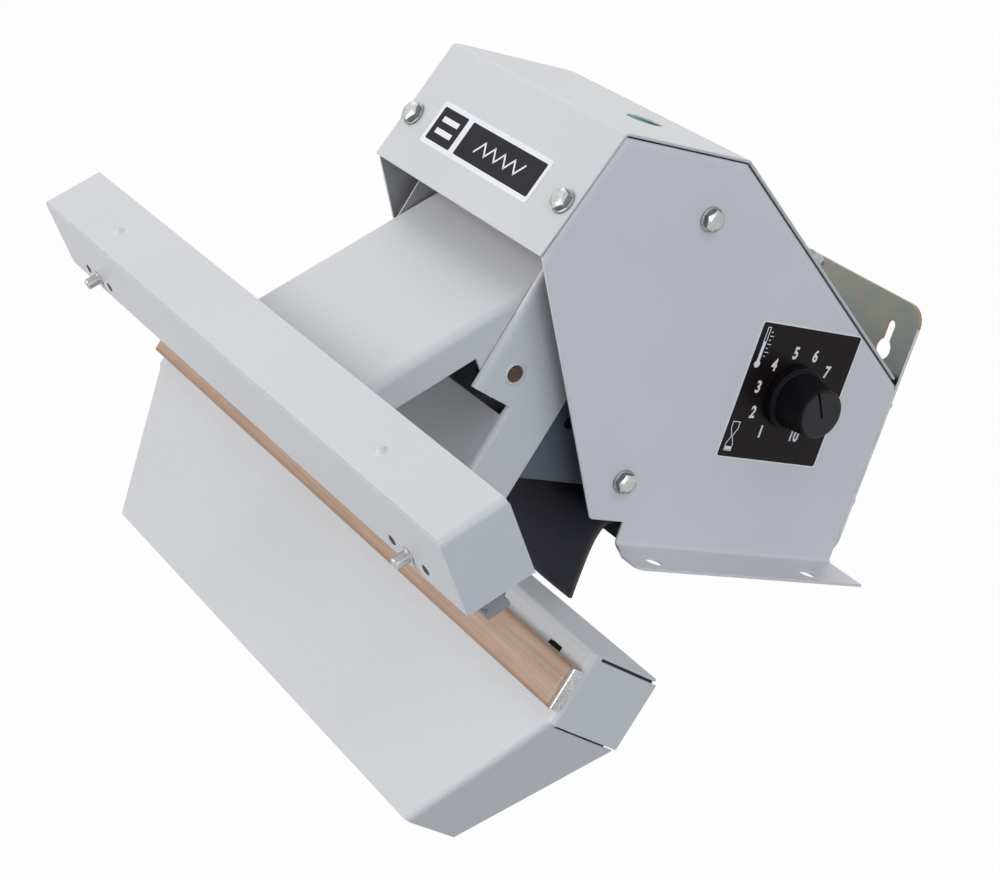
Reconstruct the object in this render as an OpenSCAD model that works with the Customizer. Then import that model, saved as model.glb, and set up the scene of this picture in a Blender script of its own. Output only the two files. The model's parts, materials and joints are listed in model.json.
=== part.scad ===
// Jaw heat sealer. A folded sheet-steel housing carries a fixed lower jaw with a heated bar.
// An upper jaw with a rubber strip swings down onto the bar, pulled by a solenoid.
// The frame is +X right, +Y back and +Z up, from the middle of the base bolt pattern.
// Jaws and arms are drawn in a jaw frame: v runs back from the lower jaw's front face
// and w runs up along it. The upper jaw is drawn closed there, then swung open.

/* [Housing] */
// Width over the two side panels
body_w = 160; // [150:1:190]
// Height of the top face
body_h = 207.5; // [204:0.5:218]
// Front edge of the top face
top_front_y = -144.6; // [-150:0.1:-140]
// Rear edge of the top face
top_rear_y = -66; // [-72:0.1:-60]
// Lower edge of the front slope, front to back
nose_y = -170.6; // [-176:0.1:-166]
// Lower edge of the front slope, height
nose_z = 142.4; // [138:0.1:148]
// Rear edge of the side panels
rear_y = 86.5; // [84:0.1:100]
// Height of the rear corner under the rear slope
rear_z = 108.9; // [104:0.1:116]
// Front lower corner of a side panel
foot_front_y = -87.5; // [-92:0.1:-82]
// Height of the cut-out under that corner
foot_cut_z = 13.7; // [12:0.1:18]
// Front end of the panel's foot
foot_cut_y = -66; // [-70:0.1:-62]
// Thickness of the housing sheet
sheet_t = 1.5; // [1.2:0.1:2]
// Inside radius of the sheet bends
bend_r = 2; // [1.5:0.1:3]
// Radius of the cut corners of the sheets
corner_r = 2.5; // [1:0.1:4]
// Gap between the cover's inside and a panel's edge
panel_gap = 0.8; // [0.5:0.1:1.2]
// Distance from the cover's rear end to the rear corner
cover_end_gap = 3; // [2:0.1:6]
// Width of a panel's inward tabs
tab_w = 15; // [13:0.5:17]
// Length of a panel's inward tabs
tab_l = 26; // [20:0.5:30]

/* [Base and wall plate] */
// How far a base flange stands out of its panel
base_out = 28.5; // [27:0.1:34]
// Front end of a base flange
base_front_y = -72; // [-76:0.5:-69]
// Start of the front end, out from the panel
base_lead = 9; // [7:0.5:12]
// Radius of the corners of a base flange
base_corner_r = 5; // [2:0.5:6]
// Diameter of the base holes
base_hole_d = 9; // [6:0.1:10]
// Base hole centre, out from the panel face
base_hole_out = 18.4; // [17:0.1:19]
// Distance between the two base holes of a flange
base_hole_span = 108; // [90:1:116]
// Thickness of the wall plate
plate_t = 2; // [1.5:0.1:3]
// Top edge of the wall plate
plate_top_z = 150; // [145:0.5:165]
// Bottom edge of the wall plate
plate_bottom_z = 4; // [2:0.5:10]
// Radius of the wall plate's corners
plate_corner_r = 11; // [5:0.5:12]
// Keyhole centre from the middle plane
key_x = 60.5; // [50:0.5:62]
// Height of the keyhole's round part
key_z = 120.7; // [119:0.1:125]
// Diameter of the keyhole's round part
key_d = 11.6; // [9:0.1:13]
// Width of the keyhole's slot
key_slot_w = 6; // [4:0.1:7]
// Length from the round part's centre to the slot's end centre
key_slot_l = 13.3; // [9:0.1:15]

/* [Floor] */
// Height of the floor tray's upper face
tray_z = 11; // [9:0.5:12]
// Front end of the floor tray
tray_front_y = -60.5; // [-62:0.5:-56]
// Gap between the tray and what stands beside it
tray_gap = 0.1; // [0.05:0.05:0.3]
// Thickness of the rubber flap
flap_t = 2; // [1.5:0.1:3]
// Width of the rubber flap
flap_w = 144; // [130:1:146]
// Rear end of the rubber flap
flap_rear_y = -25; // [-30:0.5:-22]
// Front face of the hanging flap
flap_front_y = -74; // [-76:0.5:-70]
// Lower edge of the hanging flap
flap_low_z = -34; // [-40:0.5:-25]
// Inside radius of the flap's bend
flap_r = 10; // [6:0.5:10]
// Width of the strip that clamps the flap
clamp_w = 12; // [8:0.5:14]
// Thickness of the strip that clamps the flap
clamp_t = 2; // [1.5:0.1:4]
// Length of the strip that clamps the flap
clamp_l = 90; // [60:1:110]
// Distance between the strip's screws
clamp_span = 70; // [40:1:80]

/* [Bolts] */
// Diameter of the housing bolts
bolt_d = 6; // [4:0.1:6]
// Diameter of a bolt head's flange
bolt_flange_d = 13; // [11:0.1:14]
// Thickness of a bolt head's flange
bolt_flange_t = 1.4; // [1:0.1:2]
// Width across the flats of a bolt head
bolt_hex = 10; // [8:0.1:11]
// Height of a bolt head
bolt_head_h = 5.2; // [4:0.1:6]
// Length of a cover or wall plate bolt under its head
bolt_l = 12; // [8:0.5:14]
// Radial gap round a bolt in its holes
bolt_gap = 0.3; // [0.2:0.05:0.5]
// Bolt axis, in from the panel's outer face
bolt_inset = 8.7; // [8.4:0.1:9.5]
// Front cover bolt, up from the cover's lower edge
front_bolt_s = 27.5; // [26:0.1:40]
// Rear cover bolt, down from the top's rear edge
rear_bolt_s = 83; // [60:0.5:100]
// Height of the lower wall plate bolts
wall_bolt_low_z = 36; // [30:0.5:45]
// Height of the upper wall plate bolts
wall_bolt_high_z = 94; // [80:0.5:94]
// Upper side bolt, front to back
side_bolt_top_y = -78; // [-84:0.5:-78]
// Upper side bolt, height
side_bolt_top_z = 175.5; // [170:0.5:178]
// Lower side bolt, front to back
side_bolt_low_y = -75; // [-90:0.5:-72]
// Lower side bolt, height
side_bolt_low_z = 35.7; // [34:0.1:40]
// Diameter of the spacer tubes on the side bolts
spacer_d = 14; // [12:0.5:16]
// Thickness of the nuts
nut_t = 5; // [3:0.5:5]
// Diameter of the small screws
screw_d = 4; // [3:0.1:4]
// Diameter of a small screw's head
screw_head_d = 7; // [6:0.1:8]
// Height of a small screw's head
screw_head_h = 2.6; // [2:0.1:3]

/* [Lower jaw] */
// Top edge of the apron, front to back
jaw_y = -184.8; // [-188:0.1:-180]
// Top edge of the apron, height
jaw_z = -28.4; // [-32:0.1:-25]
// Backward lean of the lower jaw
jaw_tilt = 16.6; // [14:0.1:18]
// Length of the lower jaw
lower_len = 427; // [400:1:433]
// Height of the apron
apron_h = 82; // [60:0.5:100]
// Length of the apron's lower edge
apron_foot = 334.6; // [300:1:380]
// Depth of the apron's side returns at the top
return_top = 43.8; // [36:0.1:46]
// Depth of the apron's side returns at the foot
return_foot = 31.6; // [20:0.1:36]
// Height of the jaw's top face above the apron
lower_top = 35; // [34:0.1:38]
// Depth of the jaw's top face
lower_depth = 41; // [40:0.1:46]
// Depth of the jaw's end caps
cap_depth = 43.3; // [38:0.1:46]
// Lower edge of an end cap, under the apron's top edge
cap_low = 2.4; // [1.5:0.1:4]
// Width of the slots beside an end cap
cap_slot = 1.4; // [1:0.1:2.5]
// Lead slot from the middle plane
lead_x = 188.8; // [170:0.1:190]
// Length of a lead slot
lead_l = 9; // [6:0.5:12]
// Height of a lead slot
lead_h = 4.4; // [3:0.1:5]

/* [Seal bar] */
// Height of the aluminium seal bar
bar_h = 20.4; // [18:0.1:22]
// Thickness of the seal bar
bar_t = 6; // [5:0.1:8]
// Lower edge of the bar above the apron's top edge
bar_low = 4; // [3:0.1:5]
// Thickness of the insulating tape on the bar
tape_t = 0.3; // [0.2:0.05:0.5]
// Thickness of the heating ribbon
ribbon_t = 0.3; // [0.2:0.05:0.4]
// Width of the heating ribbon
ribbon_w = 6; // [3:0.1:8]
// Thickness of the covering cloth
cloth_t = 0.4; // [0.3:0.05:0.6]
// How far the cloth stops short of the bar's ends
cloth_short = 1.2; // [0.5:0.1:3]
// How far the cloth turns down the bar's edges
cloth_turn = 5; // [3:0.1:5]
// Terminal screw from the middle plane
terminal_x = 178; // [160:0.5:179]
// Thickness of a terminal screw's sunk head
terminal_head_t = 2; // [1.5:0.1:2.5]
// Length of a terminal screw behind the bar
terminal_l = 14; // [10:0.5:18]
// Width across the flats of a terminal nut
terminal_nut = 7; // [6.5:0.1:8]
// Thickness of a terminal nut
terminal_nut_t = 3.2; // [2.5:0.1:4]

/* [Arms and pivot] */
// Width over the lower arm's flanges
arm_w = 129.6; // [116:0.1:131]
// Thickness of the lower arm's sheet
arm_t = 3; // [2.5:0.1:4]
// Front of the lower arm's web, behind the jaw's front face
arm_web_v = 10; // [8:0.1:11]
// Depth of the lower arm
arm_depth = 29.5; // [28:0.1:30]
// How far the arm's ears reach in front of the jaw's face
ear_v = 15; // [13:0.1:16]
// Height of the web's top edge
web_top_w = 91.7; // [85:0.1:92]
// Height of the ears' lower edge
ear_low_w = 98.2; // [97:0.1:99]
// Height of the ears' top end
ear_top_w = 200; // [190:0.5:204]
// Gap between the lower and the upper arm
arm_gap = 0.4; // [0.3:0.05:0.8]
// Thickness of the upper arm's sheet
upper_arm_t = 2; // [1.5:0.1:2.5]
// Inside radius of the upper arm's bends
upper_arm_r = 3; // [2:0.1:5]
// Outer face of the upper arm's plate, in front of the jaw's face
upper_arm_v = 33; // [31.5:0.1:34]
// Depth of the upper arm's flanges
upper_arm_depth = 18; // [14:0.1:20]
// Height of the upper arm's rear end
upper_arm_top_w = 158; // [150:0.5:160]
// Pivot behind the jaw's front face
pivot_v = 2.2; // [0:0.1:4]
// Pivot above the apron's top edge
pivot_w = 113; // [111:0.1:116]
// Angle between the open and the closed jaw
open_angle = 33.4; // [28:0.1:34]
// Diameter of the pivot axle
axle_d = 8; // [6:0.1:9]
// Running gap round the axle
axle_gap = 0.05; // [0.02:0.01:0.08]
// Gap round pieces that are pressed in
press_gap = 0.03; // [0.02:0.01:0.06]
// Wall of the bushes and collars on the axle
bush_wall = 2; // [1:0.1:2.5]
// Thickness of the collars' rims
rim_t = 0.8; // [0.5:0.1:1.5]
// How far the rims stand out round the bushes
rim_out = 1.2; // [0.8:0.1:2]

/* [Upper jaw] */
// Length of the upper jaw
upper_len = 434; // [428:1:450]
// Width of the upper jaw
upper_w = 34.6; // [33:0.1:36]
// Height of the upper jaw's walls
upper_h = 42; // [40:0.1:44]
// Front wall of the closed upper jaw, under the apron's top edge
upper_low = 2.6; // [1:0.1:4]
// How far the rubber stands out of the jaw
rubber_out = 10.3; // [8:0.1:12]
// Gap between the closed rubber and the cloth
seal_gap = 0.3; // [0.2:0.05:0.5]
// Width of the rubber strip
rubber_w = 12; // [8:0.1:13]
// Rubber's middle from the front wall
rubber_in = 14.5; // [14:0.1:16]
// Depth of the rubber's side grooves
groove_d = 2; // [1:0.1:2.5]
// Width of the rubber's root in its holder
root_w = 16; // [14:0.1:17]
// Height of the rubber's root in its holder
root_h = 4; // [3:0.1:5]
// Wall of the rubber's holder
holder_wall = 2.5; // [2:0.1:3]
// How far the holder stops inside the jaw's open edge
holder_in = 3; // [2:0.1:5]
// Gap round the rubber in its holder
rubber_gap = 0.15; // [0.1:0.05:0.3]
// Stud from the middle plane
stud_x = 171.7; // [160:0.1:175]
// Stud from the jaw's top face
stud_down = 33.5; // [32:0.1:34]
// Diameter of a stud
stud_d = 6; // [4:0.1:7]
// Length of a stud out of the jaw's front wall
stud_l = 8; // [5:0.1:12]
// Spacing of the small holes beside a stud
stud_hole_s = 14.6; // [11:0.1:18]
// Diameter of the small holes beside a stud
stud_hole_d = 4; // [2:0.1:5]
// Rivet on the jaw's top from the middle plane
rivet_x = 143.6; // [120:0.1:150]
// Diameter of a rivet's head
rivet_d = 6; // [5:0.1:8]
// Height of a rivet's head
rivet_h = 0.9; // [0.6:0.1:1.5]

/* [Drive] */
// Length of the drive lever from the pivot to its pin
lever_r = 56; // [52:0.5:57]
// Thickness of the drive lever
lever_t = 8; // [6:0.1:10]
// Radius of the lever's hub
hub_r = 12; // [10:0.1:13]
// Radius of the lever's end
lever_end_r = 6; // [5:0.1:6.5]
// Width of the lever's sides where they meet its hub and end, as a share of the radius
lever_neck = 0.85; // [0.7:0.01:0.9]
// Diameter of the lever's pin
lever_pin_d = 6; // [4:0.1:6.5]
// Play of the pin in the plunger's fork
fork_play = 0.4; // [0.3:0.05:0.6]
// Width of the plunger's fork
fork_w = 20; // [18:0.1:22]
// Fork below the pin
fork_below = 9; // [8:0.1:10]
// Fork above the pin
fork_above = 16; // [15:0.1:16]
// Diameter of the plunger
plunger_d = 14; // [12:0.1:15]
// Gap round the plunger in the solenoid
plunger_gap = 0.08; // [0.03:0.01:0.09]
// Underside of the solenoid
solenoid_z = 130; // [130:0.5:132]
// Height of the solenoid
solenoid_h = 56; // [54:0.5:56]
// Width of the solenoid
solenoid_w = 44; // [40:0.5:46]
// Thickness of the solenoid's yoke
yoke_t = 4; // [3:0.1:5]
// Diameter of the solenoid's coil
coil_d = 37; // [30:0.5:38]
// Gap between the coil and the yoke
coil_gap = 0.2; // [0.1:0.05:0.5]
// Depth of the solenoid behind the plunger's axis
solenoid_back = 23.7; // [23:0.1:24]
// Wire of the return spring
spring_wire_d = 1.8; // [1:0.1:2]
// Mean diameter of the return spring
spring_d = 19; // [18.6:0.1:20]
// Turns of the return spring
spring_turns = 7; // [4:1:7]
// Gap at the ends of the return spring
spring_end_gap = 0.3; // [0.2:0.05:0.5]

/* [Cradle] */
// Thickness of the cradle's sheet
cradle_t = 1.5; // [1.2:0.1:2]
// How far the cradle's sides lap onto the lower arm
cradle_lap = 13.5; // [10:0.1:14]
// Lower edge of the cradle's sides
cradle_low_z = 25; // [24:0.1:27]
// Rear edge of the cradle's sides
cradle_rear_y = -62; // [-66:0.5:-58]
// Top edge of the cradle's sides
cradle_top_z = 192; // [187:0.5:194]
// Lower edge of the cradle's cross wall
cross_low_z = 100; // [90:0.5:102]
// Screws of the solenoid, between the left and the right ones
solenoid_span_x = 28; // [20:0.5:30]
// Screws of the solenoid, between the low and the high ones
solenoid_span_z = 36; // [30:0.5:40]
// Width of the limit switch
limit_w = 20; // [16:0.5:24]
// Depth of the limit switch
limit_d = 10; // [8:0.5:11]
// Height of the limit switch
limit_h = 18; // [14:0.5:20]

/* [Controls] */
// Dial centre, front to back
dial_y = 14.3; // [8:0.1:20]
// Dial centre, height
dial_z = 92.6; // [88:0.1:96]
// Width of the dial label
label_w = 69.4; // [60:0.1:72]
// Height of the dial label
label_h = 74; // [60:0.1:76]
// Dial centre, in front of the label's middle
label_off_y = 0.7; // [0:0.1:2]
// Thickness of the labels
label_t = 0.4; // [0.2:0.05:0.6]
// Corner radius of the labels
label_r = 2; // [1:0.1:3]
// Height of the knob
knob_h = 25; // [20:0.5:28]
// Diameter of the knob's skirt
knob_skirt_d = 35; // [30:0.5:36]
// Height of the knob's skirt rim
knob_rim_h = 1.6; // [1:0.1:2.5]
// Height of the skirt's slope
knob_slope_h = 5; // [4:0.1:8]
// Diameter of the knob's grip
knob_grip_d = 27.5; // [24:0.1:29]
// Count of the grip's ribs
knob_ribs = 40; // [24:1:48]
// Depth of the grip's ribs
rib_d = 0.7; // [0.4:0.1:1]
// Gap between the knob and its label
knob_gap = 0.6; // [0.4:0.1:1]
// Width of the pointer groove
pointer_w = 1.4; // [0.8:0.1:2]
// Depth of the pointer groove
pointer_d = 0.8; // [0.4:0.1:1.2]
// Direction of the pointer at rest, up from the rear
pointer_angle = 123; // [60:1:180]
// Diameter of the potentiometer
pot_d = 24; // [18:0.5:26]
// Depth of the potentiometer
pot_h = 12; // [8:0.5:14]
// Diameter of the potentiometer's bushing
pot_bush_d = 9; // [7.5:0.1:10]
// Length of the bushing in front of the label
pot_bush_l = 5; // [4:0.1:6]
// Thickness of the potentiometer's nut
pot_nut_t = 2; // [1.5:0.1:3]
// Width across the flats of the potentiometer's nut
pot_nut_w = 12; // [11.5:0.1:13]
// Diameter of the knob's shaft
shaft_d = 6; // [4:0.1:6.5]
// Length of the shaft in the knob
shaft_in = 18; // [10:0.5:18]
// Rocker switch, to the right of the middle plane
rocker_x = 30.3; // [28:0.1:40]
// Rocker switch, front to back
rocker_y = -96.9; // [-102:0.1:-92]
// Diameter of the rocker
rocker_d = 17.4; // [14:0.1:18]
// Gap round the rocker
rocker_gap = 0.6; // [0.4:0.1:0.8]
// Height of the rocker
rocker_h = 5; // [4:0.1:6]
// Tilt of the rocker each way
rocker_tilt = 5; // [3:0.5:6]
// Depth of the rocker's axis under the top face
rocker_axis_d = 3.5; // [3:0.1:4]
// Diameter of the rocker's trunnions
trunnion_d = 2; // [1.5:0.1:2.5]
// Length of a trunnion
trunnion_l = 1.6; // [1:0.1:2]
// Wall of the switch body round the rocker
switch_wall = 2.6; // [2.2:0.1:3]
// Depth of the switch body under the cover
switch_h = 17; // [14:0.5:17]
// Width of the name plate
name_w = 102.4; // [80:0.1:104]
// Height of the name plate
name_h = 24.6; // [20:0.1:28]
// Lower edge of the name plate, up from the cover's lower edge
name_s = 17.4; // [12:0.1:22]
// Name plate's middle, left of the middle plane
name_left = 2.9; // [0:0.1:5]

/* [Electrics] */
// Width of the transformer core
core_w = 74; // [66:0.5:76]
// Depth of the transformer core
core_d = 46; // [36:0.5:50]
// Height of the transformer core
core_h = 62; // [54:0.5:66]
// Width of an outer leg of the core
core_leg = 12; // [10:0.1:12]
// Thickness of the core's yokes
core_yoke = 12; // [10:0.1:13]
// How far the coil bulges out of the core
coil_bulge = 12; // [8:0.1:13]
// Gap round the transformer's coil
winding_gap = 0.3; // [0.2:0.05:0.6]
// Middle of the transformer, front to back
core_y = 20; // [16:0.5:26]
// Thickness of the control board
board_t = 1.6; // [1.2:0.1:2]
// Gap between the board and the right panel
board_gap = 22; // [20:0.5:24]
// Front edge of the board
board_front_y = -22; // [-30:0.5:-15]
// Length of the board
board_l = 84; // [70:0.5:86]
// Lower edge of the board
board_low_z = 48; // [40:0.5:52]
// Height of the board
board_h = 62; // [56:0.5:62]
// Standoff centre from the board's edges
standoff_in = 4.5; // [4:0.1:6]
// Diameter of a standoff
standoff_d = 6; // [5:0.1:7]
// Height of the tallest component on the board
part_h = 13; // [8:0.5:14]
// Width of the terminal block
block_w = 20; // [14:0.5:22]
// Length of the terminal block
block_l = 40; // [30:0.5:42]
// Height of the terminal block
block_h = 18; // [14:0.5:20]
// Terminal block from the left panel's inside
block_in = 5; // [4:0.5:8]
// Inlet gland, front to back
gland_y = 62; // [58:0.5:66]
// Height of the inlet gland and of the pedal socket
inlet_z = 33; // [32:0.5:40]
// Diameter of the gland's thread
gland_d = 15; // [12:0.1:16]
// Bore of the gland
gland_bore = 8; // [6:0.1:9]
// Width across the flats of the gland's nuts
gland_hex = 19; // [18:0.1:21]
// Length of the gland outside the panel
gland_l = 16; // [12:0.5:20]
// Thickness of the gland's nuts
gland_nut_t = 5; // [3:0.5:6]
// Pedal socket, front to back
socket_y = 34; // [30:0.5:38]
// Diameter of the pedal socket's body
socket_d = 16; // [12:0.5:17]
// Diameter of the pedal socket's rim
socket_rim_d = 21; // [19:0.5:23]
// Depth of the pedal socket inside the panel
socket_in = 12; // [8:0.5:14]
// Height of the pedal socket's rim
socket_rim_t = 3; // [2:0.5:4]

/* [Hidden] */
$fn = 64;
// Steps in a bend and in a turn of the spring
bend_steps = 6;
turn_steps = 14;
wire_sides = 8;
// Overlap of a cut past the face that it opens
cut = 1;
// Smallest turn of a path that counts as a corner
straight = 0.0001;

half_w = body_w / 2;
panel_in_x = half_w - sheet_t;
bolt_x = half_w - bolt_inset;
bolt_hole_d = bolt_d + 2 * bolt_gap;
screw_hole_d = screw_d + 2 * bolt_gap;

// Profile of the housing in (y, z)
nose = [nose_y, nose_z];
top_front = [top_front_y, body_h];
top_rear = [top_rear_y, body_h];
rear_corner = [rear_y, rear_z];
cover_end = rear_corner + cover_end_gap * unit(top_rear - rear_corner);
panel_inset = sheet_t + panel_gap;
panel_edge = shift_path([rear_corner, top_rear, top_front, nose], panel_inset);
panel_rear = meet(panel_edge[0], panel_edge[1] - panel_edge[0], [rear_y, 0], [0, 1]);
base_bend = bend_r + sheet_t;

// Jaw frame and pivot
pivot = jaw_point(pivot_v, pivot_w);
arm_rear_v = arm_web_v + arm_depth;
arm_in_x = arm_w / 2 - arm_t;
upper_arm_x = arm_in_x - arm_gap;
cradle_x = arm_in_x;
cradle_in_x = cradle_x - cradle_t;
edge_angle = atan((lower_len - apron_foot) / 2 / apron_h);
edge_len = norm([apron_h, (lower_len - apron_foot) / 2]);
cap_top = lower_top - sheet_t - cap_slot;

// Stack on the seal bar, counted forward from the jaw's face
tape_v = bar_t + tape_t;
ribbon_v = tape_v + ribbon_t;
cloth_v = ribbon_v + cloth_t;
bar_mid = bar_low + bar_h / 2;
bar_top = bar_low + bar_h;
cloth_end = lower_len / 2 - cloth_short;
rubber_mid = rubber_in - upper_low;
rubber_face_v = cloth_v + seal_gap;
upper_open_v = rubber_face_v + rubber_out;
upper_top_v = upper_open_v + upper_h;
upper_rear_w = upper_w - upper_low;
holder_top_v = upper_top_v - sheet_t;
holder_open_v = upper_open_v + holder_in;
holder_half = root_w / 2 + rubber_gap + holder_wall;
root_open_v = holder_open_v + holder_wall + rubber_gap;
holder_side = upper_low + rubber_mid - holder_half;
stud_v = upper_top_v - stud_down;

// Drive: the lever is level at half travel
half_angle = open_angle / 2;
lever_pin_y = pivot[0] + lever_r * cos(half_angle);
lever_pin_z = pivot[1] - lever_r * sin(half_angle);
plunger_y = pivot[0] + lever_r * (1 + cos(half_angle)) / 2;
pin_swing = lever_r * (1 - cos(half_angle)) / 2;
stroke = 2 * lever_r * sin(half_angle);
plunger_top_z = solenoid_z + solenoid_h - yoke_t - stroke - spring_end_gap;
fork_top_z = lever_pin_z + fork_above;
cross_y = plunger_y + solenoid_back;
lever_angle = half_angle + jaw_tilt;
lever_pin_vw = [pivot_v, pivot_w] + lever_r * [cos(lever_angle), sin(lever_angle)];
solenoid_mid_z = solenoid_z + solenoid_h / 2;

axle_bore_d = axle_d + 2 * axle_gap;
bush_d = axle_bore_d + 2 * bush_wall;
collar_wall = bush_wall / 2;
collar_d = axle_bore_d + 2 * collar_wall;

knob_x = half_w + label_t + knob_gap;
rocker_z = body_h - rocker_axis_d;
rocker_hole_d = rocker_d + 2 * rocker_gap;
core_leg_in = core_w - 4 * core_leg;
terminal_hole_d = screw_d + 2 * bolt_gap;

// Paths and bends

function unit(a) = a / norm(a);
function left(d) = [-d[1], d[0]];
function cross2(a, b) = a[0] * b[1] - a[1] * b[0];
function turned(a, k) = [a[0] * cos(k) - a[1] * sin(k), a[0] * sin(k) + a[1] * cos(k)];
// Point where the line from p along d meets the line from q along e
function meet(p, d, q, e) = p + d * cross2(q - p, e) / cross2(d, e);
// A path moved to its left by s
function shift_path(pts, s) = [
    for (i = [0:len(pts) - 1])
        let (a = unit(pts[max(i, 1)] - pts[max(i, 1) - 1]))
        let (b = unit(pts[min(i + 1, len(pts) - 1)] - pts[min(i, len(pts) - 2)]))
        let (p = pts[i] + s * left(a), q = pts[i] + s * left(b))
        abs(cross2(a, b)) < straight ? p : meet(p, a, q, b)
];
// Arc of radius r that rounds the corner b between a and c
function corner(a, b, c, r) =
    let (d = unit(b - a), e = unit(c - b), side = cross2(d, e) > 0 ? 1 : -1)
    let (angle = acos(max(-1, min(1, d * e))), spoke = side * r * left(d))
    let (middle = b - d * r * tan(angle / 2) + spoke)
    angle < straight
        ? [b]
        : [for (i = [0:bend_steps]) middle + turned(-spoke, side * angle * i / bend_steps)];
// An open path with its corners rounded, by one radius to the left and another to the right
function round_path(pts, r_left, r_right) = [
    pts[0],
    for (i = [1:len(pts) - 2])
        let (a = pts[i - 1], b = pts[i], c = pts[i + 1])
        each corner(a, b, c, cross2(b - a, c - b) > 0 ? r_left : r_right),
    pts[len(pts) - 1]
];
// A closed outline with all its corners rounded
function round_loop(pts, r) = [
    for (i = [0:len(pts) - 1])
        each corner(pts[(i + len(pts) - 1) % len(pts)], pts[i], pts[(i + 1) % len(pts)], r)
];
function reversed(pts) = [for (i = [len(pts) - 1:-1:0]) pts[i]];
// A point of the jaw frame in (y, z)
function jaw_point(v, w) =
    [jaw_y + v * cos(jaw_tilt) + w * sin(jaw_tilt), jaw_z - v * sin(jaw_tilt) + w * cos(jaw_tilt)];
// Rectangle from its low and high corners
function box2(low, high) = [low, [high[0], low[1]], high, [low[0], high[1]]];

// Section of a bent sheet that lies to the left of a path
module bent_sheet(pts, t, r) {
    polygon(concat(round_path(pts, r + t, r), reversed(round_path(shift_path(pts, t), r, r + t))));
}

// Extrusions of a section in (y, z) along X, in (x, z) along Y
module along_x(x0, x1) {
    translate([x0, 0, 0])
        rotate([90, 0, 90])
            linear_extrude(x1 - x0)
                children();
}

module along_y(y0, y1) {
    translate([0, y1, 0])
        rotate([90, 0, 0])
            linear_extrude(y1 - y0)
                children();
}

module box(low, high) {
    translate(low)
        cube(high - low);
}

module rod_x(d, x0, x1) {
    translate([x0, 0, 0])
        rotate([0, 90, 0])
            cylinder(d = d, h = x1 - x0);
}

module rod_y(d, y0, y1) {
    translate([0, y1, 0])
        rotate([90, 0, 0])
            cylinder(d = d, h = y1 - y0);
}

module both_sides() {
    children();
    mirror([1, 0, 0])
        children();
}

module jaw_frame() {
    translate([0, jaw_y, jaw_z])
        rotate([-jaw_tilt, 0, 0])
            children();
}

// The jaw frame for what swings, opened about the pivot
module upper_frame() {
    jaw_frame()
        translate([0, pivot_v, pivot_w])
            rotate([-open_angle, 0, 0])
                translate([0, -pivot_v, -pivot_w])
                    children();
}

// A place on a slope from p to q, with local Z pointing out of it
module on_slope(p, q, s) {
    translate([0, p[0] + s * unit(q - p)[0], p[1] + s * unit(q - p)[1]])
        rotate([atan2((q - p)[1], (q - p)[0]), 0, 0])
            children();
}

// Places of the cover's bolts, on the front and the rear slope
module on_cover_slopes() {
    on_slope(nose, top_front, front_bolt_s)
        children();
    on_slope(top_rear, rear_corner, rear_bolt_s)
        children();
}

module at_cover_bolts() {
    translate([bolt_x, 0, 0])
        on_cover_slopes()
            children();
}

module cover_bolt_holes() {
    at_cover_bolts()
        translate([0, 0, -bolt_l])
            cylinder(d = bolt_hole_d, h = bolt_l + cut);
}

module at_wall_bolts() {
    for (z = [wall_bolt_low_z, wall_bolt_high_z])
        translate([bolt_x, rear_y, z])
            children();
}

module at_side_bolts() {
    for (p = [[side_bolt_top_y, side_bolt_top_z], [side_bolt_low_y, side_bolt_low_z]])
        translate([0, p[0], p[1]])
            children();
}

// Hexagon with a given width across its flats
module hex(w, h) {
    cylinder(d = w / cos(30), h = h, $fn = 6);
}

// Flanged hexagon bolt whose head sits on z = 0
module hex_bolt(l) {
    cylinder(d = bolt_flange_d, h = bolt_flange_t);
    hex(bolt_hex, bolt_head_h);
    translate([0, 0, -l])
        cylinder(d = bolt_d, h = l + cut);
}

// Side panels

module panel_tab() {
    translate([panel_in_x - tab_w, -tab_l / 2, -2 * sheet_t])
        cube([tab_w + sheet_t, tab_l, sheet_t]);
}

module panel_sheet() {
    difference() {
        union() {
            along_x(panel_in_x, half_w)
                polygon(concat(
                    [[rear_y, base_bend], panel_rear, panel_edge[1], panel_edge[2], panel_edge[3]],
                    corner(panel_edge[3], [foot_front_y, foot_cut_z], [foot_cut_y, foot_cut_z], corner_r),
                    [[foot_cut_y, foot_cut_z], [foot_cut_y, base_bend]]
                ));
            along_y(foot_cut_y, rear_y)
                bent_sheet([
                    [panel_in_x, base_bend + cut], [panel_in_x, 0], [half_w + base_out, 0]
                ], sheet_t, bend_r);
            linear_extrude(sheet_t)
                polygon(round_loop([
                    [half_w + base_lead, base_front_y], [half_w + base_out, base_front_y],
                    [half_w + base_out, rear_y], [half_w + base_lead, rear_y]
                ], base_corner_r));
            on_cover_slopes()
                panel_tab();
            box([panel_in_x - tab_w, rear_y - sheet_t, wall_bolt_low_z - tab_l / 2],
                [half_w, rear_y, min(wall_bolt_high_z + tab_l / 2, rear_z - tab_l / 4)]);
        }
        for (y = [-base_hole_span / 2, base_hole_span / 2])
            translate([half_w + base_hole_out, y, -cut])
                cylinder(d = base_hole_d, h = sheet_t + 2 * cut);
        cover_bolt_holes();
        at_wall_bolts()
            rod_y(bolt_hole_d, -bolt_l, cut);
        at_side_bolts()
            rod_x(bolt_hole_d, panel_in_x - cut, half_w + cut);
    }
}

module right_panel() {
    color("LightSteelBlue")
        difference() {
            panel_sheet();
            translate([0, dial_y, dial_z])
                rod_x(pot_bush_d + 2 * bolt_gap, panel_in_x - cut, half_w + cut);
        }
}

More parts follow.
